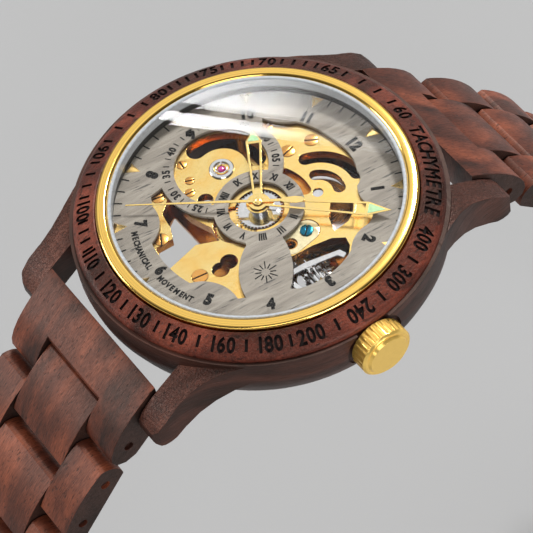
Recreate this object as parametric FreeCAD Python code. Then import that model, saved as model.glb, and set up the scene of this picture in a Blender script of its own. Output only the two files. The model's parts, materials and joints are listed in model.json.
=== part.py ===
"""Skeleton wristwatch with a wooden case and a wooden link bracelet.

Frame, in millimetres: the origin is the centre of the case back's outer face.
+Z points out of the dial, +X to 3 o'clock (the crown) and +Y to 12 o'clock.
Each node is written to parts/NODE.step. The bracelet is modelled closed, as on a wrist.
"""
import FreeCAD
import Part
import math
import os

V = FreeCAD.Vector
UP = V(0, 0, 1)

# ---- case -----------------------------------------------------------------
CASE_R = 22.5
CASE_TOP = 10.05
CASE_SIDE_Z = 6.9
CASE_BOTTOM = 0.9
CASE_FOOT_R = 19.6
BORE_R = 15.2
BORE_FLOOR = 2.3
DIAL_SEAT = 9.3
SEAT_R = 18.0
BEZEL_R = 22.0
BEZEL_TOP = 12.0
GOLD_R = 19.0
GOLD_IN = 17.6
GOLD_TOP = 12.5
GASKET_IN = 17.15
GLASS_BOTTOM = 11.1
GLASS_TOP = 12.35

# ---- lugs and bracelet ----------------------------------------------------
LUG_IN = 11.2
LUG_OUT = 14.8
BAR_Y = 24.6
BAR_Z = 2.2
BAR_R = 0.75
STRAP_HALF = 10.9
CENTRE_HALF = 5.35
PIN_Y = 28.0
PIN_Z = -0.9
PITCH = 6.0
LINK_END = 2.6
LINK_HALF_T = 1.8
LINK_CROWN = 0.6
PIN_R = 0.6
RUN = 0.05
# slope of each pin-to-pin step below the horizontal, from the end link to the clasp, with the bracelet open
SLOPES = (46, 47, 50, 55, 60, 64, 66, 68, 70, 72)
# the same slopes on a wrist, where the parts of the clasp meet
CLOSED_SLOPES = (46, 48, 52, 60, 74, 98, 122, 144, 163, 177)

# ---- dial -----------------------------------------------------------------
DIAL_BOTTOM = 9.4
DIAL_TOP = 9.8
DIAL_R = 17.5
MARKER_BASE_R = 17.25
FOOT_R = 0.35
ROMAN_OUT = 5.4
ROMAN_IN = 3.65
SUB_X = -7.8
SUB_OUT = 7.5
SUB_IN = 5.7

# ---- movement levels ------------------------------------------------------
PLATE_R = 15.0
PLATE_BOTTOM = 7.9
PLATE_TOP = 9.2
RECESS_Z = 8.5
BRIDGE_BOTTOM = 4.4
BRIDGE_TOP = 4.95
BARREL = (2.5, 6.7)
BALANCE = (SUB_X, 0.0)
THIRD_DIST = 4.4
THIRD_ANGLE = -45.0
ESCAPE_DIST = 4.4
ESCAPE_ANGLE = 225.0
MINUTE_DIST = 3.4
MINUTE_ANGLE = -90.0
STEM_Z = 7.0
STEM_R = 0.5
ROTOR_POST_R = 0.9
CROWN_WHEEL = (8.6, 0.0)

# ---- hands: directions in degrees clockwise from 12 o'clock -----------------
HOUR_DIR = 302.0
MINUTE_DIR = 45.0
SECOND_DIR = 218.3
HOUR_LEN = 10.95
MINUTE_LEN = 15.8
SECOND_LEN = 15.7
SECOND_TAIL = 5.5


def polar(radius, degrees):
    return (radius * math.cos(math.radians(degrees)), radius * math.sin(math.radians(degrees)))


def turn(shape, degrees, at=(0, 0)):
    shape.rotate(V(at[0], at[1], 0), UP, degrees)
    return shape


def moved(shape, x=0, y=0, z=0):
    shape.translate(V(x, y, z))
    return shape


def disc(radius, z0, z1, at=(0, 0)):
    return Part.makeCylinder(radius, z1 - z0, V(at[0], at[1], z0))


def tube(outer, inner, z0, z1, at=(0, 0)):
    return disc(outer, z0, z1, at).cut(disc(inner, z0 - 1, z1 + 1, at))


def block(x0, x1, y0, y1, z0, z1):
    return Part.makeBox(x1 - x0, y1 - y0, z1 - z0, V(x0, y0, z0))


def rod_x(radius, x0, x1, y, z):
    return Part.makeCylinder(radius, x1 - x0, V(x0, y, z), V(1, 0, 0))


def prism(points, z0, z1):
    """A straight-sided plate whose outline is the list of (x, y) points."""
    outline = Part.makePolygon([V(x, y, z0) for x, y in list(points) + [points[0]]])
    return Part.Face(outline).extrude(V(0, 0, z1 - z0))


def turned(points):
    """A solid turned about Z from a closed (r, z) outline."""
    outline = Part.makePolygon([V(r, 0, z) for r, z in list(points) + [points[0]]])
    return Part.Face(outline).revolve(V(0, 0, 0), UP, 360)


def fuse(*shapes):
    return shapes[0].fuse(list(shapes[1:])).removeSplitter()


def group(*shapes):
    """Separate solids that share one node."""
    return Part.makeCompound([solid for shape in shapes for solid in shape.Solids])


def sector(inner, outer, start, end, z0, z1, at=(0, 0)):
    """A ring sector with square ends, between two angles in degrees."""
    def arc(radius, a, b):
        mid = (a + b) / 2
        points = [V(at[0] + polar(radius, t)[0], at[1] + polar(radius, t)[1], z0) for t in (a, mid, b)]
        return Part.Arc(*points).toShape()
    outer_arc = arc(outer, start, end)
    inner_arc = arc(inner, end, start)
    sides = [
        Part.makeLine(outer_arc.Vertexes[-1].Point, inner_arc.Vertexes[0].Point),
        Part.makeLine(inner_arc.Vertexes[-1].Point, outer_arc.Vertexes[0].Point),
    ]
    wire = Part.Wire([outer_arc, sides[0], inner_arc, sides[1]])
    return Part.Face(wire).extrude(V(0, 0, z1 - z0))


def kidney(middle, half, start, end, z0, z1, at=(0, 0)):
    """A ring slot with round ends."""
    ends = [disc(half, z0, z1, (at[0] + polar(middle, t)[0], at[1] + polar(middle, t)[1])) for t in (start, end)]
    return fuse(sector(middle - half, middle + half, start, end, z0, z1, at), *ends)


def capsule(a, b, radius, z0, z1):
    """A plate with two round ends, at a and b."""
    dx, dy = b[0] - a[0], b[1] - a[1]
    length = math.hypot(dx, dy)
    nx, ny = -dy / length * radius, dx / length * radius
    bar = prism([(a[0] + nx, a[1] + ny), (a[0] - nx, a[1] - ny), (b[0] - nx, b[1] - ny), (b[0] + nx, b[1] + ny)], z0, z1)
    return fuse(bar, disc(radius, z0, z1, a), disc(radius, z0, z1, b))


# ---- gears ------------------------------------------------------------------
TOOTH_SHARE = 0.34
MESH_SHARE = 0.55


def toothed(teeth, pitch_r, z0, z1, at=(0, 0), phase=0.0):
    """A solid gear blank with thin pointed teeth; phase is the direction of one tooth in degrees."""
    module = 2 * pitch_r / teeth
    tip = pitch_r + MESH_SHARE * module
    root = pitch_r - 1.2 * module
    step = 360.0 / teeth
    points = []
    for i in range(teeth):
        middle = phase + i * step
        for radius, offset in ((root, -TOOTH_SHARE / 2), (tip, -TOOTH_SHARE / 5), (tip, TOOTH_SHARE / 5),
                               (root, TOOTH_SHARE / 2)):
            x, y = polar(radius, middle + offset * step)
            points.append((at[0] + x, at[1] + y))
    return prism(points, z0, z1)


def wheel(teeth, pitch_r, z0, z1, at=(0, 0), phase=0.0, spokes=4, hub=0.8):
    """A gear wheel whose web is cut away between its spokes."""
    body = toothed(teeth, pitch_r, z0, z1, at, phase)
    rim = pitch_r * 0.80
    if spokes:
        share = 360.0 / spokes
        gap = 14.0
        for i in range(spokes):
            window = sector(hub, rim, i * share + gap, (i + 1) * share - gap, z0 - 1, z1 + 1, at)
            body = body.cut(window)
    return body


THIRD = polar(THIRD_DIST, THIRD_ANGLE)
ESCAPE = polar(ESCAPE_DIST, ESCAPE_ANGLE)
MINUTE = polar(MINUTE_DIST, MINUTE_ANGLE)
BARREL_DIST = math.hypot(*BARREL)
BARREL_ANGLE = math.degrees(math.atan2(BARREL[1], BARREL[0]))
RATCHET_DIST = math.hypot(BARREL[0] - CROWN_WHEEL[0], BARREL[1] - CROWN_WHEEL[1])
RATCHET_ANGLE = math.degrees(math.atan2(CROWN_WHEEL[1] - BARREL[1], CROWN_WHEEL[0] - BARREL[0]))

# teeth of each meshing pair
BARREL_T, CENTRE_PINION_T = 72, 12
CENTRE_T, THIRD_PINION_T = 64, 8
THIRD_T, FOURTH_PINION_T = 60, 8
FOURTH_T, ESCAPE_PINION_T = 72, 6
CANNON_T, MINUTE_T = 12, 36
MINUTE_PINION_T, HOUR_T = 10, 40
RATCHET_T, CROWN_WHEEL_T = 40, 24
WINDING_T = 12
ESCAPE_TEETH = 15


def pair(distance, teeth_a, teeth_b):
    """The two pitch radii of a meshing pair."""
    total = teeth_a + teeth_b
    return distance * teeth_a / total, distance * teeth_b / total


def gap_phase(direction, teeth):
    """The phase that puts the gap between two teeth in a given direction."""
    return direction + 180.0 / teeth


# ---- case parts -------------------------------------------------------------
def lug(side_x, side_y):
    """One lug: a plan outline that flares into the case, cut to the sloping side profile."""
    plan = [(LUG_IN, 12.0), (19.2, 10.2), (17.7, 13.6), (16.6, 15.8), (15.6, 18.0), (14.95, 20.0), (14.7, 22.0),
            (14.8, 24.2), (14.6, 25.5), (13.9, 26.0), (LUG_IN, 26.1)]
    body = prism(plan, -1.0, CASE_TOP)
    profile = [(10.0, 9.9), (15.5, 9.6), (17.6, 9.1), (19.7, 8.2), (22.4, 6.6), (23.9, 5.55), (25.3, 4.3), (26.0, 3.2),
               (26.2, 2.2), (25.9, 1.4), (25.0, 1.0), (23.4, 1.2), (21.7, 2.1), (20.0, 3.2), (17.8, 4.6), (15.8, 5.7),
               (14.0, 6.4), (10.0, 7.0)]
    wire = Part.makePolygon([V(0, y, z) for y, z in profile + [profile[0]]])
    side = Part.Face(wire).extrude(V(30, 0, 0))
    body = body.common(side)
    if side_x < 0:
        body = body.mirror(V(0, 0, 0), V(1, 0, 0))
    if side_y < 0:
        body = body.mirror(V(0, 0, 0), V(0, 1, 0))
    return body


def case_middle():
    body = turned([(0, CASE_TOP), (CASE_R, CASE_TOP), (CASE_R, CASE_SIDE_Z), (22.2, 5.2), (21.5, 3.5), (20.6, 2.0),
                   (CASE_FOOT_R, CASE_BOTTOM), (0, CASE_BOTTOM)])
    body = fuse(body, *[lug(sx, sy) for sx in (1, -1) for sy in (1, -1)])
    body = body.cut(disc(SEAT_R, DIAL_SEAT, CASE_TOP + 1))
    body = body.cut(disc(BORE_R, 0, DIAL_SEAT + 1))
    body = body.cut(disc(18.6, 0, BORE_FLOOR))
    body = body.cut(rod_x(1.25, 10, 30, 0, STEM_Z))
    body = body.cut(rod_x(3.75, 21.6, 30, 0, STEM_Z))
    for side in (1, -1):
        for sign in (1, -1):
            start = LUG_IN - 0.1 if sign > 0 else -LUG_IN - 1.5
            body = body.cut(rod_x(0.42, start, start + 1.6, side * BAR_Y, BAR_Z))
    for place in case_back_screw_places():
        body = body.cut(disc(0.5, BORE_FLOOR - 0.1, BORE_FLOOR + 1.6, place))
    for place in dial_foot_places():
        body = body.cut(disc(FOOT_R + RUN, DIAL_SEAT - 0.6, DIAL_SEAT + 0.1, place))
    return body


def case_back_screw_places():
    return [polar(17.1, 30 + 60 * i) for i in range(6)]


def bezel():
    return turned([(GOLD_R + 0.12, CASE_TOP), (GOLD_R + 0.12, BEZEL_TOP - 0.1), (GOLD_R + 0.25, BEZEL_TOP),
                   (21.55, 11.0), (21.85, 10.8), (BEZEL_R, 10.5), (BEZEL_R, CASE_TOP)])


def crystal_ring():
    return turned([(GOLD_IN, GLASS_BOTTOM - 0.1), (GOLD_IN, 12.3), (17.85, 12.58), (18.75, GOLD_TOP),
                   (GOLD_R, 12.3), (GOLD_R, CASE_TOP), (SEAT_R, CASE_TOP), (SEAT_R, GLASS_BOTTOM - 0.1)])


def crystal_gasket():
    return turned([(GASKET_IN, GLASS_BOTTOM - 0.1), (GASKET_IN, 12.3), (17.3, 12.42), (17.5, 12.42),
                   (GOLD_IN, 12.3), (GOLD_IN, GLASS_BOTTOM - 0.1)])


def crystal():
    return turned([(0, GLASS_BOTTOM), (GASKET_IN, GLASS_BOTTOM), (GASKET_IN, 12.25), (17.05, GLASS_TOP),
                   (0, GLASS_TOP)])


def inner_flange():
    return turned([(17.3, DIAL_TOP), (17.4, GLASS_BOTTOM - 0.1), (SEAT_R - 0.02, GLASS_BOTTOM - 0.1),
                   (SEAT_R - 0.02, DIAL_SEAT), (DIAL_R, DIAL_SEAT), (DIAL_R, DIAL_TOP)])


def case_back_ring():
    body = turned([(14.3, 0.35), (14.6, 0), (18.0, 0), (18.5, 0.4), (18.5, BORE_FLOOR), (15.0, BORE_FLOOR),
                   (15.0, 1.5), (14.3, 1.5)])
    for place in case_back_screw_places():
        body = body.cut(disc(0.55, -1, BORE_FLOOR + 1, place))
        body = body.cut(disc(1.0, -1, 0.7, place))
    return body


def case_back_glass():
    return fuse(disc(14.95, 1.5, 2.2), disc(14.25, 0, 1.5))


def screw(place, z_head, head_r, shank_r, length, down=True):
    """A slotted screw; down says that its head faces +Z and its shank goes down."""
    head_h = 0.35
    head = disc(head_r, 0, head_h)
    head = head.cut(block(-head_r - 1, head_r + 1, -0.1, 0.1, head_h - 0.15, head_h + 1))
    body = fuse(head, disc(shank_r, -length, 0))
    if not down:
        body.rotate(V(0, 0, 0), V(1, 0, 0), 180)
    body = turn(body, 37 * (place[0] + place[1]))
    return moved(body, place[0], place[1], z_head)


# screws of the dial side: place and head radius
PLATE_SCREWS = (((-4.8, 7.6), 0.85), ((-4.3, 10.7), 0.85), ((-9.5, 7.9), 0.7), ((-11.5, -3.3), 0.6),
                ((-8.9, -3.9), 0.55), ((-7.4, -4.9), 0.6), ((-4.0, -11.4), 0.85), ((3.3, -10.9), 0.95),
                ((-9.3, -8.2), 0.8))
BLUED_SCREW = (6.1, 2.4)
SETTING_HOLE = (6.4, -0.1)
BRIDGE_SCREWS = ((-1.5, 12.6), (11.4, 6.4), (5.0, -11.6), (-12.0, 5.4), (-11.6, -6.3))


def screws():
    items = [screw(place, PLATE_TOP - 0.3, radius, 0.35, 0.7) for place, radius in PLATE_SCREWS]
    items.append(screw(BLUED_SCREW, 9.0, 0.75, 0.35, 0.7))
    items += [screw(place, BRIDGE_BOTTOM, 0.75, 0.3, 0.5, down=False) for place in BRIDGE_SCREWS]
    items += [screw(place, 0.7, 0.95, 0.45, 2.9, down=False) for place in case_back_screw_places()]
    return group(*items)


def spring_bars():
    bars = []
    for side in (1, -1):
        body = rod_x(BAR_R, -LUG_IN + 0.15, LUG_IN - 0.15, side * BAR_Y, BAR_Z)
        body = fuse(body, rod_x(0.4, -LUG_IN - 1.3, LUG_IN + 1.3, side * BAR_Y, BAR_Z))
        bars.append(body)
    return group(*bars)


# ---- dial and hands -----------------------------------------------------------
def clock_point(radius, clock_degrees):
    return polar(radius, 90 - clock_degrees)


def dial_foot_places():
    return [clock_point(16.2, a) for a in (45, 225)]


def curved_plate(stretches, z0, z1):
    """A plate with a closed outline of smooth stretches that meet at corners; each is a list of (x, y)."""
    edges = []
    for stretch in stretches:
        points = [V(x, y, z0) for x, y in stretch]
        if len(points) == 2:
            edges.append(Part.makeLine(points[0], points[1]))
        elif len(points) == 3:
            edges.append(Part.Arc(*points).toShape())
        else:
            curve = Part.BSplineCurve()
            curve.interpolate(points)
            edges.append(curve.toShape())
    return Part.Face(Part.Wire(edges)).extrude(V(0, 0, z1 - z0))


def dial_opening_upper():
    """Opening from 10 o'clock round to 4: its outer edge dips round the numerals 1 and 2."""
    return curved_plate([
        [(-10.5, 8.0), (-8.6, 9.2), (-7.4, 10.8)],
        [(-7.4, 10.8), (-4.9, 12.0), (-2.4, 12.6), (0.3, 12.8), (3.3, 11.9)],
        [(3.3, 11.9), (4.5, 11.5), (5.1, 10.6)],
        [(5.1, 10.6), (6.9, 9.9), (8.7, 10.1)],
        [(8.7, 10.1), (10.0, 9.1), (10.4, 7.4)],
        [(10.4, 7.4), (11.0, 5.7), (12.1, 4.5)],
        [(12.1, 4.5), (13.1, 1.4), (12.6, -3.2)],
        [(12.6, -3.2), (11.9, -4.1)],
        [(11.9, -4.1), (9.1, -1.7), (4.4, -0.4)],
        [(4.4, -0.4), (0, 0)],
        [(0, 0), (-10.5, 8.0)],
    ], 0, 20)


def dial_opening_lower():
    """Opening from 5 o'clock round to 8, with dips round the numerals 5, 6 and 7."""
    return curved_plate([
        [(3.6, -4.4), (5.9, -7.1), (9.6, -8.7)],
        [(9.6, -8.7), (9.1, -9.5)],
        [(9.1, -9.5), (6.2, -9.9), (3.7, -12.5)],
        [(3.7, -12.5), (0.5, -13.1), (-3.9, -12.7)],
        [(-3.9, -12.7), (-5.6, -10.4), (-8.3, -9.6)],
        [(-8.3, -9.6), (-9.7, -8.9)],
        [(-9.7, -8.9), (-9.9, -6.4)],
        [(-9.9, -6.4), (-3.2, -1.5)],
        [(-3.2, -1.5), (3.6, -4.4)],
    ], 0, 20)


def dial_plate():
    """Openwork dial: two openings, with the small-seconds ring and the Roman ring left standing in them."""
    body = disc(DIAL_R, DIAL_BOTTOM, DIAL_TOP)
    body = body.cut(dial_opening_upper()).cut(dial_opening_lower())
    rings = disc(SUB_OUT, DIAL_BOTTOM, DIAL_TOP, BALANCE).fuse(disc(ROMAN_OUT, DIAL_BOTTOM, DIAL_TOP))
    body = fuse(body, rings)
    body = body.cut(disc(SUB_IN, 0, 20, BALANCE).cut(disc(ROMAN_OUT, 0, 20)))
    body = body.cut(disc(ROMAN_IN, 0, 20))
    feet = [disc(FOOT_R, DIAL_SEAT - 0.5, DIAL_BOTTOM, place) for place in dial_foot_places()]
    return fuse(body, *feet)


def hour_markers():
    """Twelve pyramids with their points towards the centre."""
    length, half, height = 1.65, 0.8, 0.55
    items = []
    for i in range(12):
        corners = [V(-length, 0, 0), V(0, half, 0), V(0, -half, 0)]
        apex = V(-length * 0.3, 0, height)
        faces = [Part.Face(Part.makePolygon(corners + [corners[0]]))]
        for k in range(3):
            faces.append(Part.Face(Part.makePolygon([corners[k], corners[(k + 1) % 3], apex, corners[k]])))
        solid = Part.Solid(Part.Shell(faces))
        solid.translate(V(MARKER_BASE_R, 0, DIAL_TOP))
        items.append(turn(solid, 90 - 30 * i))
    return group(*items)


def hand(clock_degrees, outline, holes, hub_r, bore_r, z0, z1):
    """A flat hand drawn along +X, with windows, turned to its direction."""
    body = fuse(prism(outline, z0, z1), disc(hub_r, z0, z1))
    for hole in holes:
        body = body.cut(prism(hole, z0 - 1, z1 + 1))
    body = body.cut(disc(bore_r, z0 - 1, z1 + 1))
    return turn(body, 90 - clock_degrees)


def hand_outline(shoulder, length, root, half):
    """Long taper that widens from the root to the shoulder, then runs to a point."""
    return [(0, root), (shoulder, half), (length, 0), (shoulder, -half), (0, -root)]


def hand_window(start, end, shoulder, root, half, rail):
    """The part of the taper between start and end, less its two side rails."""
    a = root + (half - root) * start / shoulder - rail
    b = root + (half - root) * end / shoulder - rail
    return [(start, a), (end, b), (end, -b), (start, -a)]


def hour_hand():
    shoulder, root, half = 9.3, 0.5, 0.97
    window = hand_window(2.1, 8.95, shoulder, root, half, 0.28)
    return hand(HOUR_DIR, hand_outline(shoulder, HOUR_LEN, root, half), [window], 1.45, 1.0, 10.3, 10.45)


def minute_hand():
    shoulder, root, half = 13.0, 0.45, 0.97
    windows = [hand_window(a, b, shoulder, root, half, 0.27) for a, b in ((1.9, 11.3), (11.6, 12.7))]
    return hand(MINUTE_DIR, hand_outline(shoulder, MINUTE_LEN, root, half), windows, 1.15, 0.7, 10.6, 10.72)


def seconds_hand():
    tail = -SECOND_TAIL
    outline = [(tail, 0.12), (tail + 0.25, 0.4), (tail + 1.1, 0.52), (tail + 2.1, 0.4), (tail + 2.8, 0.2), (0, 0.22),
               (SECOND_LEN, 0.09), (SECOND_LEN, -0.09), (0, -0.22), (tail + 2.8, -0.2), (tail + 2.1, -0.4),
               (tail + 1.1, -0.52), (tail + 0.25, -0.4), (tail, -0.12)]
    body = hand(SECOND_DIR, outline, [], 0.6, 0.15, 10.84, 10.94)
    return fuse(body, tube(0.42, 0.15, 10.94, 11.04))


# ---- movement -------------------------------------------------------------------
def main_plate():
    body = disc(PLATE_R, PLATE_BOTTOM, PLATE_TOP)
    low, high = PLATE_BOTTOM - 1, PLATE_TOP + 1
    # motion-work recess on the dial side
    body = body.cut(fuse(disc(2.95, RECESS_Z, high), disc(2.7, RECESS_Z, high, MINUTE)))
    body = body.cut(disc(1.0, low, high))
    # slots over the barrel
    body = body.cut(kidney(5.25, 0.85, 82, 160, low, high, BARREL))
    body = body.cut(kidney(2.6, 0.75, 66, 150, low, high, BARREL))
    body = body.cut(prism([(4.7, 6.9), (6.4, 9.0), (7.5, 8.2), (8.2, 6.9), (8.3, 4.8), (6.3, 5.5)], low, high))
    # pocket beside the motion work
    body = body.cut(kidney(5.9, 0.7, 78, 114, RECESS_Z, high))
    body = body.cut(disc(0.65, low, high, BARREL))
    # opening over the balance rim, and the balance staff
    body = body.cut(kidney(4.35, 1.2, 72, 190, low, high, BALANCE))
    body = body.cut(disc(0.5, low, high, BALANCE))
    # round holes
    body = body.cut(disc(0.95, low, high, (-5.3, -4.1)))
    body = body.cut(disc(1.05, low, high, (3.8, -7.1)))
    body = body.cut(disc(1.05, low, high, (4.1, -8.5)))
    # opening over the train
    body = body.cut(prism([(-8.6, -7.2), (-7.0, -9.2), (-4.6, -9.6), (-3.2, -10.3), (-3.4, -12.6), (0.2, -13.4),
                           (-0.7, -8.7), (0.6, -6.2), (-1.6, -5.9), (-4.4, -6.9)], low, high))
    # keyless-work opening round the stem
    body = body.cut(prism([(5.2, -4.6), (14.2, -4.6), (14.2, 2.2), (12.6, 3.6), (11.1, 5.0), (9.9, 5.3), (8.9, 4.0), (8.3, 1.6), (8.0, -1.0),
                           (6.6, -2.0)], low, high))
    # recess for the setting plate
    body = body.cut(capsule(BLUED_SCREW, SETTING_HOLE, 1.62, 8.9, high))
    body = body.cut(disc(0.55, low, high, SETTING_HOLE))
    for place, radius in PLATE_SCREWS:
        body = body.cut(disc(radius + 0.05, PLATE_TOP - 0.3, high, place))
        body = body.cut(disc(0.35, PLATE_BOTTOM - 0.1, high, place))
    body = body.cut(disc(0.35, low, high, BLUED_SCREW))
    for place in (THIRD, ESCAPE):
        body = body.cut(disc(0.45, low, high, place))
    minute_post = disc(0.25, RECESS_Z - 0.1, PLATE_TOP - 0.05, MINUTE)
    # pillars that carry the rear bridge
    pillars = [disc(0.9, BRIDGE_TOP, PLATE_BOTTOM, place) for place in BRIDGE_SCREWS]
    pillars = [p.cut(disc(0.32, BRIDGE_TOP - 1, BRIDGE_TOP + 0.6, place)) for p, place in zip(pillars, BRIDGE_SCREWS)]
    return fuse(body, minute_post, *pillars)


def setting_plate():
    body = capsule(BLUED_SCREW, SETTING_HOLE, 1.55, 8.9, 9.15)
    body = body.cut(disc(0.8, 8.99, 10, BLUED_SCREW))
    body = body.cut(disc(0.36, 8, 10, BLUED_SCREW))
    return body.cut(disc(0.8, 8, 10, SETTING_HOLE))


def jewel(place, bore, z0, z1, outer=0.45):
    return tube(outer, bore, z0, z1, place)


def jewels():
    top = (PLATE_TOP - 0.5, PLATE_TOP - 0.15)
    items = [jewel(place, 0.23, *top, outer=0.4) for place in (THIRD, ESCAPE)]
    items.append(jewel(BALANCE, 0.18, *top, outer=0.5))
    low = (BRIDGE_BOTTOM + 0.1, BRIDGE_BOTTOM + 0.45)
    items += [jewel(place, 0.23, *low) for place in (THIRD, ESCAPE, (0, 0), fork_place())]
    items.append(jewel(BALANCE, 0.18, *low, outer=0.5))
    return group(*items)


def bridge_disc():
    return disc(14.2, BRIDGE_BOTTOM, BRIDGE_TOP)


def cock_outline(grow=0.0):
    """The balance cock reaches in from the rim at 9 o'clock to the balance staff."""
    return fuse(capsule((-13.0, 5.6), BALANCE, 1.5 + grow, BRIDGE_BOTTOM, BRIDGE_TOP),
                capsule((-13.0, 5.6), (-12.4, 5.2), 1.6 + grow, BRIDGE_BOTTOM, BRIDGE_TOP)).common(bridge_disc())


def balance_cock():
    body = cock_outline()
    body = body.cut(disc(0.5, 0, 20, BALANCE))
    return body.cut(disc(0.32, 0, 20, BRIDGE_SCREWS[3]))


def train_bridge():
    body = bridge_disc()
    low, high = BRIDGE_BOTTOM - 1, BRIDGE_TOP + 1
    # room for the balance, then windows that show the movement from behind
    body = body.cut(disc(5.3, low, high, BALANCE).cut(disc(2.7, low, high, (-3.6, -1.6))))
    body = body.cut(cock_outline(0.25))
    body = body.cut(disc(3.95, low, high, CROWN_WHEEL))
    body = body.cut(prism([(-8.8, -7.0), (-6.4, -10.8), (-3.4, -13.4), (1.0, -13.9), (-0.3, -8.7), (-2.6, -6.9)],
                          low, high))
    body = body.cut(kidney(3.6, 0.9, 40, 150, low, high, BARREL))
    body = body.cut(disc(0.65, low, high, BARREL))
    for place in (THIRD, ESCAPE, (0, 0), fork_place()):
        body = body.cut(disc(0.45, low, high, place))
    for place in BRIDGE_SCREWS:
        body = body.cut(disc(0.32, low, high, place))
    post = tube(ROTOR_POST_R, 0.35, 2.98, BRIDGE_BOTTOM)
    return fuse(max(body.Solids, key=lambda s: s.Volume), post)


def barrel():
    pitch_barrel, _ = pair(BARREL_DIST, BARREL_T, CENTRE_PINION_T)
    phase = gap_phase(BARREL_ANGLE + 180, BARREL_T)
    rim = toothed(BARREL_T, pitch_barrel, 6.4, 6.75, BARREL, phase)
    body = fuse(rim, disc(5.3, 5.5, 7.0, BARREL))
    body = body.cut(disc(4.9, 5.7, 6.8, BARREL))
    return body.cut(disc(0.66, 5, 8, BARREL))


def ratchet_wheel():
    pitch, _ = pair(RATCHET_DIST, RATCHET_T, CROWN_WHEEL_T)
    body = toothed(RATCHET_T, pitch, 4.0, 4.25, BARREL, RATCHET_ANGLE)
    for i in range(5):
        body = body.cut(disc(0.8, 3, 5, (BARREL[0] + polar(3.2, 72 * i)[0], BARREL[1] + polar(3.2, 72 * i)[1])))
    return fuse(body, disc(0.6, 4.25, 9.0, BARREL))


def crown_wheel():
    _, pitch = pair(RATCHET_DIST, RATCHET_T, CROWN_WHEEL_T)
    body = toothed(CROWN_WHEEL_T, pitch, 4.0, 4.25, CROWN_WHEEL, gap_phase(RATCHET_ANGLE + 180, CROWN_WHEEL_T))
    body = fuse(body, tube(3.05, 2.4, 4.25, 5.2, CROWN_WHEEL))
    teeth = []
    for i in range(CROWN_WHEEL_T):
        tooth = block(2.45, 3.0, -0.12, 0.12, 5.15, 5.68)
        teeth.append(moved(turn(tooth, (i + 0.5) * 360.0 / CROWN_WHEEL_T), CROWN_WHEEL[0], CROWN_WHEEL[1]))
    body = fuse(body, *teeth)
    return body.cut(disc(1.2, 3, 5, CROWN_WHEEL))


WINDING_X = CROWN_WHEEL[0] + 2.72


def winding_pinion():
    """The winding pinion and, beside it, the sliding pinion, both on the stem's square."""
    def fluted(teeth, pitch_r, x0, x1):
        gear = toothed(teeth, pitch_r, 0, x1 - x0, (0, 0), 0)
        gear.rotate(V(0, 0, 0), V(0, 1, 0), 90)
        return moved(gear, x0, 0, STEM_Z)
    winding = fluted(WINDING_T, 1.36, WINDING_X - 0.5, WINDING_X + 0.7)
    sliding = fuse(rod_x(0.85, 9.2, 10.0, 0, STEM_Z), fluted(WINDING_T, 1.15, 10.0, 10.7), fluted(10, 1.15, 8.7, 9.2))
    bore = rod_x(STEM_R + 0.06, 5, 20, 0, STEM_Z)
    return group(winding.cut(bore), sliding.cut(bore))


def crown():
    """The crown with its stem: two solids on one body."""
    start, end = 22.1, 24.6
    flutes = 30
    radius = 3.35
    body = Part.makeCylinder(radius, end - start, V(start, 0, STEM_Z), V(1, 0, 0))
    body = body.makeChamfer(0.25, [e for e in body.Edges if abs(e.Length - 2 * math.pi * radius) < 0.01])
    cutter = rod_x(0.26, start - 1, end - 0.3, 0, STEM_Z + radius + 0.06)
    for i in range(flutes):
        groove = cutter.copy()
        groove.rotate(V(0, 0, STEM_Z), V(1, 0, 0), 360.0 * i / flutes)
        body = body.cut(groove)
    face = Part.makeCone(2.75, 2.55, 0.35, V(end, 0, STEM_Z), V(1, 0, 0))
    body = fuse(body, face)
    body = body.cut(rod_x(2.2, start - 1, start + 1.0, 0, STEM_Z))
    body = body.cut(rod_x(STEM_R, start - 1, start + 1.8, 0, STEM_Z))
    stem = rod_x(STEM_R, 6.2, start + 1.8, 0, STEM_Z)
    return group(body, stem)


def centre_wheel():
    _, pinion_r = pair(BARREL_DIST, BARREL_T, CENTRE_PINION_T)
    wheel_r, _ = pair(THIRD_DIST, CENTRE_T, THIRD_PINION_T)
    cannon_r, _ = pair(MINUTE_DIST, CANNON_T, MINUTE_T)
    body = wheel(CENTRE_T, wheel_r, 7.3, 7.48, phase=THIRD_ANGLE)
    pinion = toothed(CENTRE_PINION_T, pinion_r, 6.3, 7.3, phase=BARREL_ANGLE)
    cannon = toothed(CANNON_T, cannon_r, 8.6, 8.8, phase=MINUTE_ANGLE)
    pipe = disc(0.6, 6.2, 8.6)
    upper = disc(0.7, 8.6, 10.72)
    body = fuse(body, pinion, cannon, pipe, upper)
    return body.cut(disc(0.26, 5, 12))


def hour_wheel():
    _, radius = pair(MINUTE_DIST, MINUTE_PINION_T, HOUR_T)
    body = toothed(HOUR_T, radius, 8.95, 9.15, phase=gap_phase(MINUTE_ANGLE, HOUR_T))
    return fuse(body, disc(1.0, 9.15, 10.45)).cut(disc(0.76, 8, 12))


def minute_wheel():
    _, wheel_r = pair(MINUTE_DIST, CANNON_T, MINUTE_T)
    pinion_r, _ = pair(MINUTE_DIST, MINUTE_PINION_T, HOUR_T)
    body = toothed(MINUTE_T, wheel_r, 8.58, 8.78, MINUTE, gap_phase(MINUTE_ANGLE + 180, MINUTE_T))
    pinion = toothed(MINUTE_PINION_T, pinion_r, 8.78, 9.13, MINUTE, MINUTE_ANGLE + 180)
    return fuse(body, pinion).cut(disc(0.3, 8, 12, MINUTE))


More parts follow.
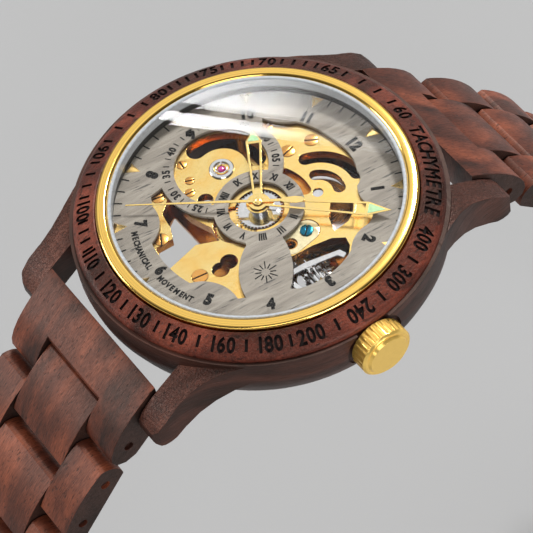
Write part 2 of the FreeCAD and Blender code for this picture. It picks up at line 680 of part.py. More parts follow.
def third_wheel():
    _, pinion_r = pair(THIRD_DIST, CENTRE_T, THIRD_PINION_T)
    wheel_r, _ = pair(THIRD_DIST, THIRD_T, FOURTH_PINION_T)
    body = wheel(THIRD_T, wheel_r, 5.75, 5.9, THIRD, THIRD_ANGLE + 180)
    pinion = toothed(THIRD_PINION_T, pinion_r, 7.15, 7.6, THIRD, gap_phase(THIRD_ANGLE + 180, THIRD_PINION_T))
    return fuse(body, pinion, disc(0.3, 5.3, 7.75, THIRD), disc(0.2, 4.5, 9.0, THIRD))


def fourth_wheel():
    _, pinion_r = pair(THIRD_DIST, THIRD_T, FOURTH_PINION_T)
    wheel_r, _ = pair(ESCAPE_DIST, FOURTH_T, ESCAPE_PINION_T)
    body = wheel(FOURTH_T, wheel_r, 5.05, 5.2, phase=ESCAPE_ANGLE)
    pinion = toothed(FOURTH_PINION_T, pinion_r, 5.6, 6.05, phase=gap_phase(THIRD_ANGLE, FOURTH_PINION_T))
    return fuse(body, pinion, disc(0.3, 5.2, 5.6), disc(0.2, 4.5, 10.75), disc(0.15, 10.75, 11.0))


def escape_wheel():
    _, pinion_r = pair(ESCAPE_DIST, FOURTH_T, ESCAPE_PINION_T)
    pinion = toothed(ESCAPE_PINION_T, pinion_r, 5.0, 5.45, ESCAPE, gap_phase(ESCAPE_ANGLE + 180, ESCAPE_PINION_T))
    outer, root = 1.65, 1.3
    step = 360.0 / ESCAPE_TEETH
    points = []
    for i in range(ESCAPE_TEETH):
        middle = i * step
        for radius, offset in ((root, 0.0), (outer, 0.30), (outer, 0.42), (root, 0.40)):
            x, y = polar(radius, middle + offset * step)
            points.append((ESCAPE[0] + x, ESCAPE[1] + y))
    body = prism(points, 5.5, 5.65)
    for i in range(4):
        body = body.cut(sector(0.5, 1.05, 90 * i + 20, 90 * i + 70, 5, 6, ESCAPE))
    return fuse(body, pinion, disc(0.2, 4.5, 9.0, ESCAPE))


FORK_FROM_ESCAPE = 2.35


def fork_axis():
    dx, dy = BALANCE[0] - ESCAPE[0], BALANCE[1] - ESCAPE[1]
    length = math.hypot(dx, dy)
    return dx / length, dy / length, length


def fork_place():
    ux, uy, _ = fork_axis()
    return (ESCAPE[0] + ux * FORK_FROM_ESCAPE, ESCAPE[1] + uy * FORK_FROM_ESCAPE)


IMPULSE_R = 0.55


def pallet_fork():
    """Lever, drawn with its pivot at the origin and the balance along +X, then placed."""
    ux, uy, length = fork_axis()
    reach = length - FORK_FROM_ESCAPE - IMPULSE_R
    lever = prism([(-0.2, 0.16), (reach - 0.25, 0.14), (reach - 0.1, 0.62), (reach + 0.06, 0.62), (reach - 0.08, 0.3),
                   (reach - 0.16, 0.14), (reach - 0.16, -0.14), (reach - 0.08, -0.3), (reach + 0.06, -0.62),
                   (reach - 0.1, -0.62), (reach - 0.25, -0.14), (-0.2, -0.16)], 5.48, 5.68)
    arms = prism([(0.15, 0.15), (-0.25, 1.5), (-0.55, 1.45), (-0.2, 0), (-0.55, -1.45), (-0.25, -1.5), (0.15, -0.15)],
                 5.48, 5.68)
    body = fuse(lever, arms, disc(0.3, 5.48, 5.68), disc(0.2, 4.5, 5.85))
    body.rotate(V(0, 0, 0), UP, math.degrees(math.atan2(uy, ux)))
    place = fork_place()
    return moved(body, place[0], place[1])


def balance_wheel():
    """Gold rim with two arms and rim screws, on a staff that carries the roller and its impulse pin."""
    rim = tube(4.6, 4.1, 6.3, 6.75, BALANCE)
    arm = block(BALANCE[0] - 4.3, BALANCE[0] + 4.3, -0.28, 0.28, 6.4, 6.6)
    arm = turn(arm, 55, BALANCE)
    staff = fuse(disc(0.15, 4.5, 9.0, BALANCE), disc(0.45, 6.2, 6.9, BALANCE), disc(0.75, 5.9, 6.05, BALANCE),
                 disc(0.3, 5.9, 6.3, BALANCE))
    ux, uy, _ = fork_axis()
    pin = disc(0.09, 5.5, 5.9, (BALANCE[0] - ux * IMPULSE_R, BALANCE[1] - uy * IMPULSE_R))
    return fuse(rim, arm, staff, pin)


def hairspring():
    """A flat spiral of half circles, centred on the balance staff."""
    width, height = 0.09, 0.16
    z0 = 7.1
    gap = 0.34
    edges_in, edges_out = [], []
    for offset, store in ((0.0, edges_in), (width, edges_out)):
        radius = 0.55 + offset
        x = BALANCE[0] + radius
        sign = 1
        for i in range(13):
            next_r = radius + gap / 2
            end = x - sign * 2 * next_r
            mid = V((x + end) / 2, sign * next_r, z0)
            store.append(Part.Arc(V(x, 0, z0), mid, V(end, 0, z0)).toShape())
            x, radius, sign = end, next_r, -sign
    first = Part.makeLine(edges_in[0].Vertexes[0].Point, edges_out[0].Vertexes[0].Point)
    last = Part.makeLine(edges_in[-1].Vertexes[-1].Point, edges_out[-1].Vertexes[-1].Point)
    wire = Part.Wire(Part.__sortEdges__(edges_in + edges_out + [first, last]))
    return Part.Face(wire).extrude(V(0, 0, height))


def rotor():
    """Half-round winding weight on its hub, swinging behind the movement."""
    weight = sector(10.2, 14.0, 5, 175, 2.6, 3.75)
    web = sector(1.2, 10.4, 20, 160, 3.1, 3.5)
    for start in (32, 78, 118):
        web = web.cut(sector(4.0, 9.2, start, start + 26, 3, 4))
    hub = disc(2.0, 2.6, 3.6)
    return fuse(weight, web, hub).cut(disc(ROTOR_POST_R + RUN, 2.9, 5))


# ---- bracelet ---------------------------------------------------------------
def pin_path(slopes=SLOPES):
    """Pins of one side, at y > 0, from the end link's ear to the clasp."""
    places = [(PIN_Y, PIN_Z)]
    for slope in slopes:
        y, z = places[-1]
        places.append((y + PITCH * math.cos(math.radians(slope)), z - PITCH * math.sin(math.radians(slope))))
    return places


def link_block(x0, x1, start, slope):
    """A link between two pins: round ends about the pins, a flat inside and a crowned outside."""
    half = PITCH / 2
    ends = half + math.sqrt(LINK_END ** 2 - LINK_HALF_T ** 2)
    low = [V(0, -ends, -LINK_HALF_T), V(0, ends, -LINK_HALF_T)]
    high = [V(0, ends, LINK_HALF_T), V(0, -ends, LINK_HALF_T)]
    wire = Part.Wire([
        Part.makeLine(low[0], low[1]),
        Part.Arc(low[1], V(0, half + LINK_END, 0), high[0]).toShape(),
        Part.Arc(high[0], V(0, 0, LINK_HALF_T + LINK_CROWN), high[1]).toShape(),
        Part.Arc(high[1], V(0, -half - LINK_END, 0), low[0]).toShape(),
    ])
    body = Part.Face(wire).extrude(V(x1 - x0, 0, 0))
    body.translate(V(x0, half, 0))
    body.rotate(V(0, 0, 0), V(1, 0, 0), -slope)
    return moved(body, 0, start[0], start[1])


def to_side(shape, side):
    return shape if side > 0 else shape.mirror(V(0, 0, 0), V(0, 1, 0))


def bore_at(place, radius, x0=-20, x1=20):
    return rod_x(radius, x0, x1, place[0], place[1])


def centre_link(start, end, slope):
    body = link_block(-CENTRE_HALF, CENTRE_HALF, start, slope)
    for place in (start, end):
        body = body.cut(bore_at(place, PIN_R + RUN))
    return body


def outer_link(start, end, slope):
    """Two outer links and the two pins that are pressed into them."""
    items = []
    for x0, x1 in ((CENTRE_HALF + 0.2, STRAP_HALF), (-STRAP_HALF, -CENTRE_HALF - 0.2)):
        body = link_block(x0, x1, start, slope)
        for place in (start, end):
            body = body.cut(bore_at(place, PIN_R))
        items.append(body)
    pins = [bore_at(place, PIN_R, -STRAP_HALF + 0.5, STRAP_HALF - 0.5) for place in (start, end)]
    return group(*items, *pins)


def end_link():
    """Full-width link between the lugs, with a notch on its far side and a pin across its two ears."""
    profile = [(22.95, 6.6), (23.7, 6.2), (25.2, 5.1), (26.6, 4.0), (27.9, 2.8), (29.0, 1.6), (29.9, 0.3),
               (30.45, -0.9), (30.6, -2.0), (30.1, -3.0), (28.9, -3.5), (27.4, -3.2), (25.4, -1.6), (23.4, 0.1),
               (22.6, 1.6), (22.75, 4.2)]
    wire = Part.makePolygon([V(0, y, z) for y, z in profile + [profile[0]]])
    body = Part.Face(wire).extrude(V(2 * STRAP_HALF, 0, 0))
    body.translate(V(-STRAP_HALF, 0, 0))
    body = body.cut(rod_x(LINK_END + 0.35, -CENTRE_HALF - 0.2, CENTRE_HALF + 0.2, PIN_Y, PIN_Z))
    # the centre link swings up and down in front of the notch
    notch = block(-CENTRE_HALF - 0.2, CENTRE_HALF + 0.2, PIN_Y - 0.2, PIN_Y + 6, -8, 8)
    body = body.cut(notch)
    body = body.cut(bore_at((BAR_Y, BAR_Z), BAR_R + RUN))
    body = body.cut(bore_at((PIN_Y, PIN_Z), PIN_R))
    return group(body, bore_at((PIN_Y, PIN_Z), PIN_R, -STRAP_HALF + 0.5, STRAP_HALF - 0.5))


# ---- clasp: each part is drawn in its closed place, then carried to the open end of its leg ----
CLASP_END = pin_path(CLOSED_SLOPES)[-1]
CLASP_Z = CLASP_END[1]
HINGE_Y = 16.5
FREE_Y = 14.0
LEAF_T = 0.8


def opened(shape, side):
    """Moves a clasp part from the closed place to the end of the open leg at +y or -y."""
    end = pin_path()[-1]
    shape = moved(shape, 0, -side * CLASP_END[0], -CLASP_Z)
    shape.rotate(V(0, 0, 0), V(1, 0, 0), side * (CLOSED_SLOPES[-1] - SLOPES[-1]))
    return moved(shape, 0, side * end[0], end[1])


def clasp_cover():
    """Outer cover, hinged on the last 6 o'clock links at -Y; side walls hide the folded leaves."""
    y0, y1 = -20.6, 20.3
    z0 = CLASP_Z - 2.6
    body = block(-9.9, 9.9, y0, y1, z0, z0 + 0.9)
    for x0 in (-9.9, 8.9):
        body = fuse(body, block(x0, x0 + 1.0, y0, y1, z0, z0 + 3.6))
    tongue = block(-CENTRE_HALF + 0.2, CENTRE_HALF - 0.2, -CLASP_END[0], y0 + 1, CLASP_Z - 1.5, CLASP_Z - 0.3)
    web = block(-CENTRE_HALF + 0.2, CENTRE_HALF - 0.2, y0, y0 + 1.2, z0, CLASP_Z - 0.3)
    ring = rod_x(1.5, -CENTRE_HALF + 0.2, CENTRE_HALF - 0.2, -CLASP_END[0], CLASP_Z)
    body = fuse(body, tongue, web, ring)
    body = body.cut(rod_x(PIN_R + RUN, -20, 20, -CLASP_END[0], CLASP_Z))
    for x0 in (-9.0, 3.3):
        lugs = block(x0, x0 + 5.7, HINGE_Y - 1.0, HINGE_Y + 1.0, z0, z0 + 2.3)
        body = fuse(body, lugs)
    body = fuse(body, rod_x(PIN_R, -9.0, 9.0, HINGE_Y, z0 + 2.0))
    return opened(body, -1)


def clasp_middle_leaf():
    z = CLASP_Z - 0.6
    body = block(-3.0, 3.0, -FREE_Y, HINGE_Y, z - LEAF_T / 2, z + LEAF_T / 2)
    body = fuse(body, rod_x(1.05, -3.0, 3.0, HINGE_Y, z), rod_x(0.9, -3.0, 3.0, -FREE_Y, z))
    body = body.cut(rod_x(PIN_R + RUN, -20, 20, HINGE_Y, z))
    return opened(body, -1)


def clasp_bottom_leaf():
    """Two rails that fold over the middle leaf, pinned to the last 12 o'clock links."""
    z = CLASP_Z + 0.75
    rails = []
    for x0 in (-7.4, 4.4):
        rails.append(block(x0, x0 + 3.0, -FREE_Y, 21.3, z - LEAF_T / 2, z + LEAF_T / 2))
    cross = block(-7.4, 7.4, 19.9, 21.3, z - LEAF_T / 2, z + LEAF_T / 2)
    feet = []
    for x0 in (-7.4, 4.4):
        neck = block(x0, x0 + 3.0, -FREE_Y - 0.95, -FREE_Y + 0.95, CLASP_Z - 0.6, z + LEAF_T / 2)
        foot = fuse(neck, rod_x(0.95, x0, x0 + 3.0, -FREE_Y, CLASP_Z - 0.6))
        feet.append(foot.cut(rod_x(PIN_R, -20, 20, -FREE_Y, CLASP_Z - 0.6)))
    tongue = block(-CENTRE_HALF + 0.2, CENTRE_HALF - 0.2, 20.8, CLASP_END[0], CLASP_Z + 0.35, CLASP_Z + 1.15)
    ring = rod_x(1.2, -CENTRE_HALF + 0.2, CENTRE_HALF - 0.2, CLASP_END[0], CLASP_Z)
    body = fuse(*rails, cross, *feet, tongue, ring)
    return opened(body.cut(rod_x(PIN_R + RUN, -20, 20, CLASP_END[0], CLASP_Z)), 1)


def save(name, shape):
    shape.exportStep("parts/" + name + ".step")


def main():
    os.makedirs("parts", exist_ok=True)
    makers = (case_middle, bezel, crystal_ring, crystal_gasket, crystal, inner_flange, case_back_ring,
              case_back_glass, screws, spring_bars, dial_plate, hour_markers, hour_hand, minute_hand, seconds_hand,
              main_plate, setting_plate, jewels, balance_cock, train_bridge, barrel, ratchet_wheel, crown_wheel,
              winding_pinion, crown, centre_wheel, hour_wheel, minute_wheel, third_wheel, fourth_wheel, escape_wheel,
              pallet_fork, balance_wheel, hairspring, rotor, clasp_cover, clasp_middle_leaf, clasp_bottom_leaf)
    for maker in makers:
        save(maker.__name__, maker())
    places = pin_path()
    for side, label in ((1, "12h"), (-1, "6h")):
        save("end_link_" + label, to_side(end_link(), side))
        for i, slope in enumerate(SLOPES):
            make = centre_link if i % 2 == 0 else outer_link
            kind = "centre" if i % 2 == 0 else "outer"
            shape = to_side(make(places[i], places[i + 1], slope), side)
            save("%s_link_%s_%d" % (kind, label, i // 2 + 1), shape)


main()
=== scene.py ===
"""Looks for the skeleton wristwatch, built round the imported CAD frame.

Row frame in metres: +Z out of the dial, +Y to 12 o'clock, +X to the crown. Outlines are in millimetres.
"""
import json
import math

import bmesh
import bpy
from mathutils import Matrix, Vector


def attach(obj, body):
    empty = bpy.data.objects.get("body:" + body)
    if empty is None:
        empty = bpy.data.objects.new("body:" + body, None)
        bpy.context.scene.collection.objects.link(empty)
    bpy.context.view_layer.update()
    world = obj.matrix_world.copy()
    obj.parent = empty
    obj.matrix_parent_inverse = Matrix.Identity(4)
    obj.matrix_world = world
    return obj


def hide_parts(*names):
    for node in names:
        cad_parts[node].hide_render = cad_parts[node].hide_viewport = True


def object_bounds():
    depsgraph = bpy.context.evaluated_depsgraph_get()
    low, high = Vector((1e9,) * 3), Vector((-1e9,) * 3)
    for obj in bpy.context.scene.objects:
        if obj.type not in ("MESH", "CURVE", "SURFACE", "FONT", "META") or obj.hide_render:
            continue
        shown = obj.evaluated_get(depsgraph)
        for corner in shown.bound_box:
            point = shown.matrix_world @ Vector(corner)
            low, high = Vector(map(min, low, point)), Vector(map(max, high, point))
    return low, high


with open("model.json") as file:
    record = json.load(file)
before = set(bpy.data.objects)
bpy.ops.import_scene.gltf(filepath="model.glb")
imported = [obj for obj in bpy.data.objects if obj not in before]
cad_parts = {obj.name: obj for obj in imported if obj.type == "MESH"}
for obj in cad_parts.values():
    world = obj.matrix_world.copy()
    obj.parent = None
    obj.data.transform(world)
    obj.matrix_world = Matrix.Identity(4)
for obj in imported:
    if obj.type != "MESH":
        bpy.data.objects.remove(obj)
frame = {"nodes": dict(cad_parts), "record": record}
CAD_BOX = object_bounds()
NODES = frame["nodes"]
BODY_OF = {node: body for body, nodes in frame["record"]["behaviour"]["bodies"].items() for node in nodes}
MM = 0.001

# ---- shared sizes, in millimetres, as in the CAD model -----------------------
DIAL_TOP = 9.8
BALANCE = (-7.8, 0.0)
BARREL = (2.5, 6.7)
BARREL_DRUM_LIMIT = 5.35                     # the drum lies inside this radius, the toothed rim outside it
BLUED_SCREW = (6.1, 2.4)
# The slot floors at these heights are painted in shade.
PLATE_SLOT_Z, BLUED_SLOT_Z = 9.1, 9.2        # floors of the screwdriver slots
SUB_TEXT_R = 6.6
ROMAN_CLEAR_R = 5.9                          # small-seconds print stays outside this radius
ROMAN_TEXT_R = 4.5
PETAL_EMBLEM = (8.2, -4.9)
BEZEL_INNER, BEZEL_SLOPE = (19.3, 12.0), math.atan2(12.0 - 11.07, 21.4 - 19.3)
GLASS_TOP_Z = 12.35


# ---- camera --------------------------------------------------------------------
CAMERA_AIM = (1.23, -1.22, 0.0)
CAMERA_DISTANCE = 311.4
CAMERA_AZIMUTH, CAMERA_ELEVATION, CAMERA_ROLL = -26.25, 54.0, -11.63     # degrees; azimuth from +X
LENS, SENSOR = 175.6, 36.0


def make_camera():
    data = bpy.data.cameras.new("camera")
    data.lens = LENS
    data.sensor_width = SENSOR
    data.clip_start = 0.01
    camera = bpy.data.objects.new("camera", data)
    bpy.context.collection.objects.link(camera)
    turn, rise = math.radians(CAMERA_AZIMUTH), math.radians(CAMERA_ELEVATION)
    back = Vector((math.cos(rise) * math.cos(turn), math.cos(rise) * math.sin(turn), math.sin(rise)))
    level = Vector((0, 0, 1)).cross(back).normalized()
    upright = Matrix((level, back.cross(level), back)).transposed().to_4x4()
    roll = Matrix.Rotation(math.radians(CAMERA_ROLL), 4, "Z")
    place = (Vector(CAMERA_AIM) + back * CAMERA_DISTANCE) * MM
    camera.matrix_world = Matrix.Translation(place) @ upright @ roll
    bpy.context.scene.camera = camera


make_camera()


# ---- material helpers ------------------------------------------------------------
class Nodes:
    """A short way to build one material's node tree."""

    def __init__(self, name):
        self.material = bpy.data.materials.new(name)
        self.material.use_nodes = True
        self.tree = self.material.node_tree
        self.shader = self.tree.nodes["Principled BSDF"]
        self.coords = self.tree.nodes.new("ShaderNodeTexCoord").outputs["Object"]

    def node(self, kind, **values):
        made = self.tree.nodes.new(kind)
        for key, value in values.items():
            setattr(made, key, value)
        return made

    def link(self, a, b):
        self.tree.links.new(a, b)

    def stretched(self, scale, source=None):
        mapping = self.node("ShaderNodeMapping")
        mapping.inputs["Scale"].default_value = scale
        self.link(source or self.coords, mapping.inputs["Vector"])
        return mapping.outputs["Vector"]

    def noise(self, scale, detail=4.0, rough=0.6, distortion=0.0, source=None):
        made = self.node("ShaderNodeTexNoise")
        made.inputs["Scale"].default_value = 1.0
        made.inputs["Detail"].default_value = detail
        made.inputs["Roughness"].default_value = rough
        made.inputs["Distortion"].default_value = distortion
        self.link(self.stretched(scale, source), made.inputs["Vector"])
        return made.outputs["Fac"]

    def ramp(self, value, stops):
        made = self.node("ShaderNodeValToRGB")
        ramp = made.color_ramp
        while len(ramp.elements) < len(stops):
            ramp.elements.new(0.5)
        for element, (place, colour) in zip(ramp.elements, stops):
            element.position = place
            element.color = (colour, colour, colour, 1) if isinstance(colour, float) else (*colour, 1)
        self.link(value, made.inputs["Fac"])
        return made.outputs["Color"]

    def maths(self, kind, a, b=0.5):
        made = self.node("ShaderNodeMath", operation=kind)
        for socket, value in zip(made.inputs, (a, b)):
            if isinstance(value, (int, float)):
                socket.default_value = value
            else:
                self.link(value, socket)
        return made.outputs["Value"]

    def mix(self, a, b, share, kind="MIX"):
        made = self.node("ShaderNodeMix", data_type="RGBA", blend_type=kind)
        for key, value in ((0, share), (6, a), (7, b)):
            if isinstance(value, (int, float)):
                made.inputs[key].default_value = value
            elif isinstance(value, tuple):
                made.inputs[key].default_value = (*value, 1)
            else:
                self.link(value, made.inputs[key])
        return made.outputs[2]

    def bump(self, height, strength, distance, before=None):
        made = self.node("ShaderNodeBump")
        made.inputs["Strength"].default_value = strength
        made.inputs["Distance"].default_value = distance
        self.link(height, made.inputs["Height"])
        if before is not None:
            self.link(before, made.inputs["Normal"])
        return made.outputs["Normal"]

    def set(self, **values):
        for key, value in values.items():
            socket = self.shader.inputs[key.replace("_", " ")]
            if isinstance(value, (int, float)):
                socket.default_value = value
            elif isinstance(value, tuple):
                socket.default_value = (*value, 1)
            else:
                self.link(value, socket)
        return self.material


def wood(name, dark, mid, light, grain, patches, offset=0.0, pits=0.0, coat=0.12):
    """Satin hardwood. grain and patches are noise scales per metre: high across the fibres, low along them.

    pits is the strength of a grainy, pocked surface; offset moves the pattern so that no two links match.
    """
    m = Nodes(name)
    shift = m.node("ShaderNodeMapping")
    shift.inputs["Location"].default_value = (offset, offset * 0.7, offset * 1.3)
    m.link(m.coords, shift.inputs["Vector"])
    base = shift.outputs["Vector"]
    fine = m.noise(grain, 7.0, 0.7, 0.4, base)
    broad = m.noise(patches, 3.0, 0.5, 0.7, base)
    pores = m.noise((grain[0] * 0.75, grain[1] * 1.6, grain[2] * 1.6), 1.0, 0.5, 0.0, base)
    share = m.maths("ADD", m.maths("MULTIPLY", fine, 0.22), m.maths("MULTIPLY", broad, 0.78))
    colour = m.ramp(share, [(0.35, dark), (0.50, mid), (0.66, light)])
    colour = m.mix(colour, m.ramp(fine, [(0.36, 0.6), (0.60, 1.0)]), 0.8, "MULTIPLY")
    pore_mask = m.ramp(pores, [(0.30, 0.12), (0.38, 1.0)])
    colour = m.mix(colour, pore_mask, 0.7, "MULTIPLY")
    normal = m.bump(m.maths("ADD", fine, pore_mask), 0.30, 0.00006)
    if pits:
        spots = m.noise((4200, 4200, 4200), 2.0, 0.5, 0.0, base)
        pocks = m.ramp(spots, [(0.38, 0.0), (0.56, 1.0)])
        normal = m.bump(pocks, pits, 0.00009, normal)
        colour = m.mix(colour, m.ramp(spots, [(0.33, 0.55), (0.5, 1.0)]), 0.5, "MULTIPLY")
    rough = m.ramp(fine, [(0.3, 0.55), (0.7, 0.38)])
    return m.set(Base_Color=colour, Roughness=rough, Normal=normal, Coat_Weight=coat, Coat_Roughness=0.28,
                 Specular_IOR_Level=0.34, Specular_Tint=(1.0, 0.74, 0.62))


def metal(name, colour, rough, grain=(900, 900, 900), depth=0.05, tint=None):
    """Polished or brushed metal: a little tone and gloss variation along the grain."""
    m = Nodes(name)
    fine = m.noise(grain, 4.0, 0.6)
    shade = m.mix(colour, tint or tuple(c * 0.82 for c in colour), m.ramp(fine, [(0.35, 0.0), (0.65, 1.0)]))
    gloss = m.ramp(fine, [(0.3, rough * 0.75), (0.7, rough * 1.35)])
    return m.set(Base_Color=shade, Metallic=1.0, Roughness=gloss, Normal=m.bump(fine, depth, 0.00002))


def turned_metal(name, colour, rough, rings=9000.0, depth=0.08, centre=(0.0, 0.0)):
    """Metal with fine circular tool marks about an axis parallel to Z."""
    m = Nodes(name)
    flat = m.node("ShaderNodeVectorMath", operation="SUBTRACT")
    flat.inputs[1].default_value = (centre[0] * MM, centre[1] * MM, 0)
    m.link(m.coords, flat.inputs[0])
    squash = m.stretched((1, 1, 0), flat.outputs["Vector"])
    length = m.node("ShaderNodeVectorMath", operation="LENGTH")
    m.link(squash, length.inputs[0])
    line = m.node("ShaderNodeTexNoise", noise_dimensions="1D")
    line.inputs["Scale"].default_value = rings
    line.inputs["Detail"].default_value = 3.0
    m.link(length.outputs["Value"], line.inputs["W"])
    value = line.outputs["Fac"]
    shade = m.mix(colour, tuple(c * 0.8 for c in colour), m.ramp(value, [(0.35, 0.0), (0.65, 1.0)]))
    gloss = m.ramp(value, [(0.3, rough * 0.7), (0.7, rough * 1.3)])
    return m.set(Base_Color=shade, Metallic=1.0, Roughness=gloss, Normal=m.bump(value, depth, 0.00002))


def soft_colour(name, colour, rough, speck=2500.0, change=0.8, **extra):
    """Plain coloured finish with a little mottling."""
    m = Nodes(name)
    fine = m.noise((speck, speck, speck), 3.0)
    shade = m.mix(colour, tuple(c * change for c in colour), m.ramp(fine, [(0.4, 0.0), (0.62, 1.0)]))
    return m.set(Base_Color=shade, Roughness=rough, Normal=m.bump(fine, 0.06, 0.00002), **extra)


def dial_wood():
    """Grey wood with short dark streaks along the grain."""
    m = Nodes("dial_wood")
    turned = m.node("ShaderNodeMapping")
    turned.inputs["Rotation"].default_value = (0, 0, math.radians(8))
    m.link(m.coords, turned.inputs["Vector"])
    base = turned.outputs["Vector"]
    broad = m.noise((700, 90, 300), 4.0, 0.6, 1.2, base)
    fine = m.noise((5200, 380, 2000), 5.0, 0.65, 0.2, base)
    streak = m.noise((4800, 420, 1500), 2.0, 0.5, 0.3, base)
    tones = [(0.35, (0.24, 0.207, 0.165)), (0.52, (0.32, 0.280, 0.226)), (0.66, (0.40, 0.355, 0.290))]
    colour = m.ramp(broad, tones)
    colour = m.mix(colour, m.ramp(fine, [(0.35, 0.86), (0.6, 1.0)]), 0.8, "MULTIPLY")
    colour = m.mix(colour, m.ramp(streak, [(0.30, 0.15), (0.37, 1.0)]), 0.85, "MULTIPLY")
    return m.set(Base_Color=colour, Roughness=0.55, Normal=m.bump(fine, 0.15, 0.00004))


def clear_glass(name, gloss):
    """Clear pane: passes light straight through and reflects a share of it."""
    m = Nodes(name)
    tree = m.tree
    clear = m.node("ShaderNodeBsdfTransparent")
    mirror = m.node("ShaderNodeBsdfGlossy")
    mirror.inputs["Roughness"].default_value = 0.004
    facing = m.node("ShaderNodeLayerWeight")
    facing.inputs["Blend"].default_value = 0.5
    share = m.maths("ADD", m.maths("MULTIPLY", m.maths("POWER", facing.outputs["Facing"], 4.0), 0.6), gloss)
    blend = m.node("ShaderNodeMixShader")
    m.link(share, blend.inputs["Fac"])
    m.link(clear.outputs["BSDF"], blend.inputs[1])
    m.link(mirror.outputs["BSDF"], blend.inputs[2])
    m.link(blend.outputs["Shader"], tree.nodes["Material Output"].inputs["Surface"])
    return m.material


FIBRES, PATCHES = (7500, 900, 900), (210, 90, 90)
# Darker wood for the case sides and underside: its darkness against the lug tops is painted shade.
WOOD_CASE_SHADED = wood("wood_case", (0.012, 0.005, 0.0035), (0.036, 0.012, 0.008), (0.085, 0.028, 0.018),
                 (300, 420, 6000), (60, 60, 300), coat=0.03)
WOOD_LUG = wood("wood_lug", (0.03, 0.011, 0.008), (0.085, 0.028, 0.019), (0.19, 0.066, 0.043),
                (3600, 300, 3000), (150, 60, 150), pits=0.8, coat=0.05)
WOOD_BEZEL = wood("wood_bezel", (0.032, 0.007, 0.004), (0.11, 0.021, 0.012), (0.25, 0.055, 0.030),
                  (2600, 500, 2600), (160, 90, 160), pits=0.5, coat=0.06)
WOOD_LINKS = [wood("wood_link_%d" % i, (0.023, 0.009, 0.007), (0.125, 0.032, 0.017), (0.30, 0.078, 0.036),
                   FIBRES, PATCHES, 0.13 * i, coat=0.04) for i in range(4)]
# Near-black wood with cross fibres for the link sides: its darkness is painted shade.
WOOD_LINK_SIDE_SHADE = wood("wood_link_side_shade", (0.010, 0.005, 0.004), (0.028, 0.012, 0.009), (0.055, 0.025, 0.018),
                (1500, 2600, 2600), (150, 150, 150), coat=0.0)
# Near-black: the real burnt colour of the bezel engraving, and painted shade on the screw slot floors.
BURNT_AND_SLOT_SHADE = soft_colour("burnt_engraving_and_slot_shade", (0.010, 0.004, 0.003), 0.7, Specular_IOR_Level=0.2)
DIAL = dial_wood()
PRINT = soft_colour("dial_print", (0.012, 0.011, 0.010), 0.7, Specular_IOR_Level=0.1)
GOLD = metal("gold_polished", (1.0, 0.76, 0.30), 0.16, tint=(0.95, 0.66, 0.22))
GOLD_PLATE = metal("gold_plate", (0.93, 0.70, 0.27), 0.20, (420, 300, 300), 0.05, tint=(0.72, 0.46, 0.13))
GOLD_RING = turned_metal("gold_ring", (1.0, 0.64, 0.155), 0.15)
GOLD_CROWN = soft_colour("gold_crown", (1.0, 0.66, 0.16), 0.20, 1800.0, 0.95, Metallic=0.62)
GOLD_GEAR = turned_metal("gold_gear", (0.95, 0.66, 0.24), 0.22, 6000.0)
STEEL = metal("steel_satin", (0.62, 0.62, 0.62), 0.26, (4000, 300, 300))
STEEL_BRIGHT = metal("steel_bright", (0.80, 0.80, 0.80), 0.12)
STEEL_BARREL = turned_metal("steel_barrel", (0.55, 0.55, 0.56), 0.24, 2600.0, 0.3, BARREL)
FLANGE = metal("flange_grey", (0.12, 0.115, 0.11), 0.35)
# Deep orange gold: the tone of the train bridge and rotor, and painted shade in the main plate's recesses and
# on its walls.
GOLD_DEEP_AND_RECESS_SHADE = metal("gold_deep_and_recess_shade", (0.72, 0.32, 0.07), 0.20, (900, 500, 500), 0.04, tint=(0.40, 0.14, 0.025))
GOLD_SCREW = turned_metal("gold_screw", (0.72, 0.36, 0.09), 0.24, 14000.0)
GOLD_MARKER = metal("gold_marker", (1.0, 0.74, 0.30), 0.30, tint=(0.95, 0.62, 0.2))
GASKET = soft_colour("gasket_white", (0.50, 0.53, 0.56), 0.35)
SETTING = soft_colour("setting_cream", (0.80, 0.70, 0.42), 0.25, Metallic=0.55)
RUBY = soft_colour("ruby", (0.62, 0.04, 0.30), 0.06, Coat_Weight=1.0)
BLUED = metal("blued_steel", (0.010, 0.17, 0.27), 0.16)
LUME = soft_colour("lume", (0.50, 0.82, 0.42), 0.5)
CRYSTAL = clear_glass("crystal_clear", 0.013)
BACK_GLASS = clear_glass("back_glass_clear", 0.02)


# ---- mesh helpers ---------------------------------------------------------------
def finish_piece(mesh, name, body, materials, angle=38.0, replaces=()):
    """Shades a mesh (unless angle is None), links it, parents it to its body and hides the CAD nodes it
    replaces.
    """
    if angle is not None:
        mesh.shade_smooth()
        mesh.set_sharp_from_angle(angle=math.radians(angle))
    piece = bpy.data.objects.new(name, mesh)
    bpy.context.collection.objects.link(piece)
    if not mesh.materials:
        for material in materials:
            mesh.materials.append(material)
    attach(piece, body)
    if replaces:
        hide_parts(*replaces)
    return piece


def evaluated(piece):
    graph = bpy.context.evaluated_depsgraph_get()
    return bpy.data.meshes.new_from_object(piece.evaluated_get(graph))


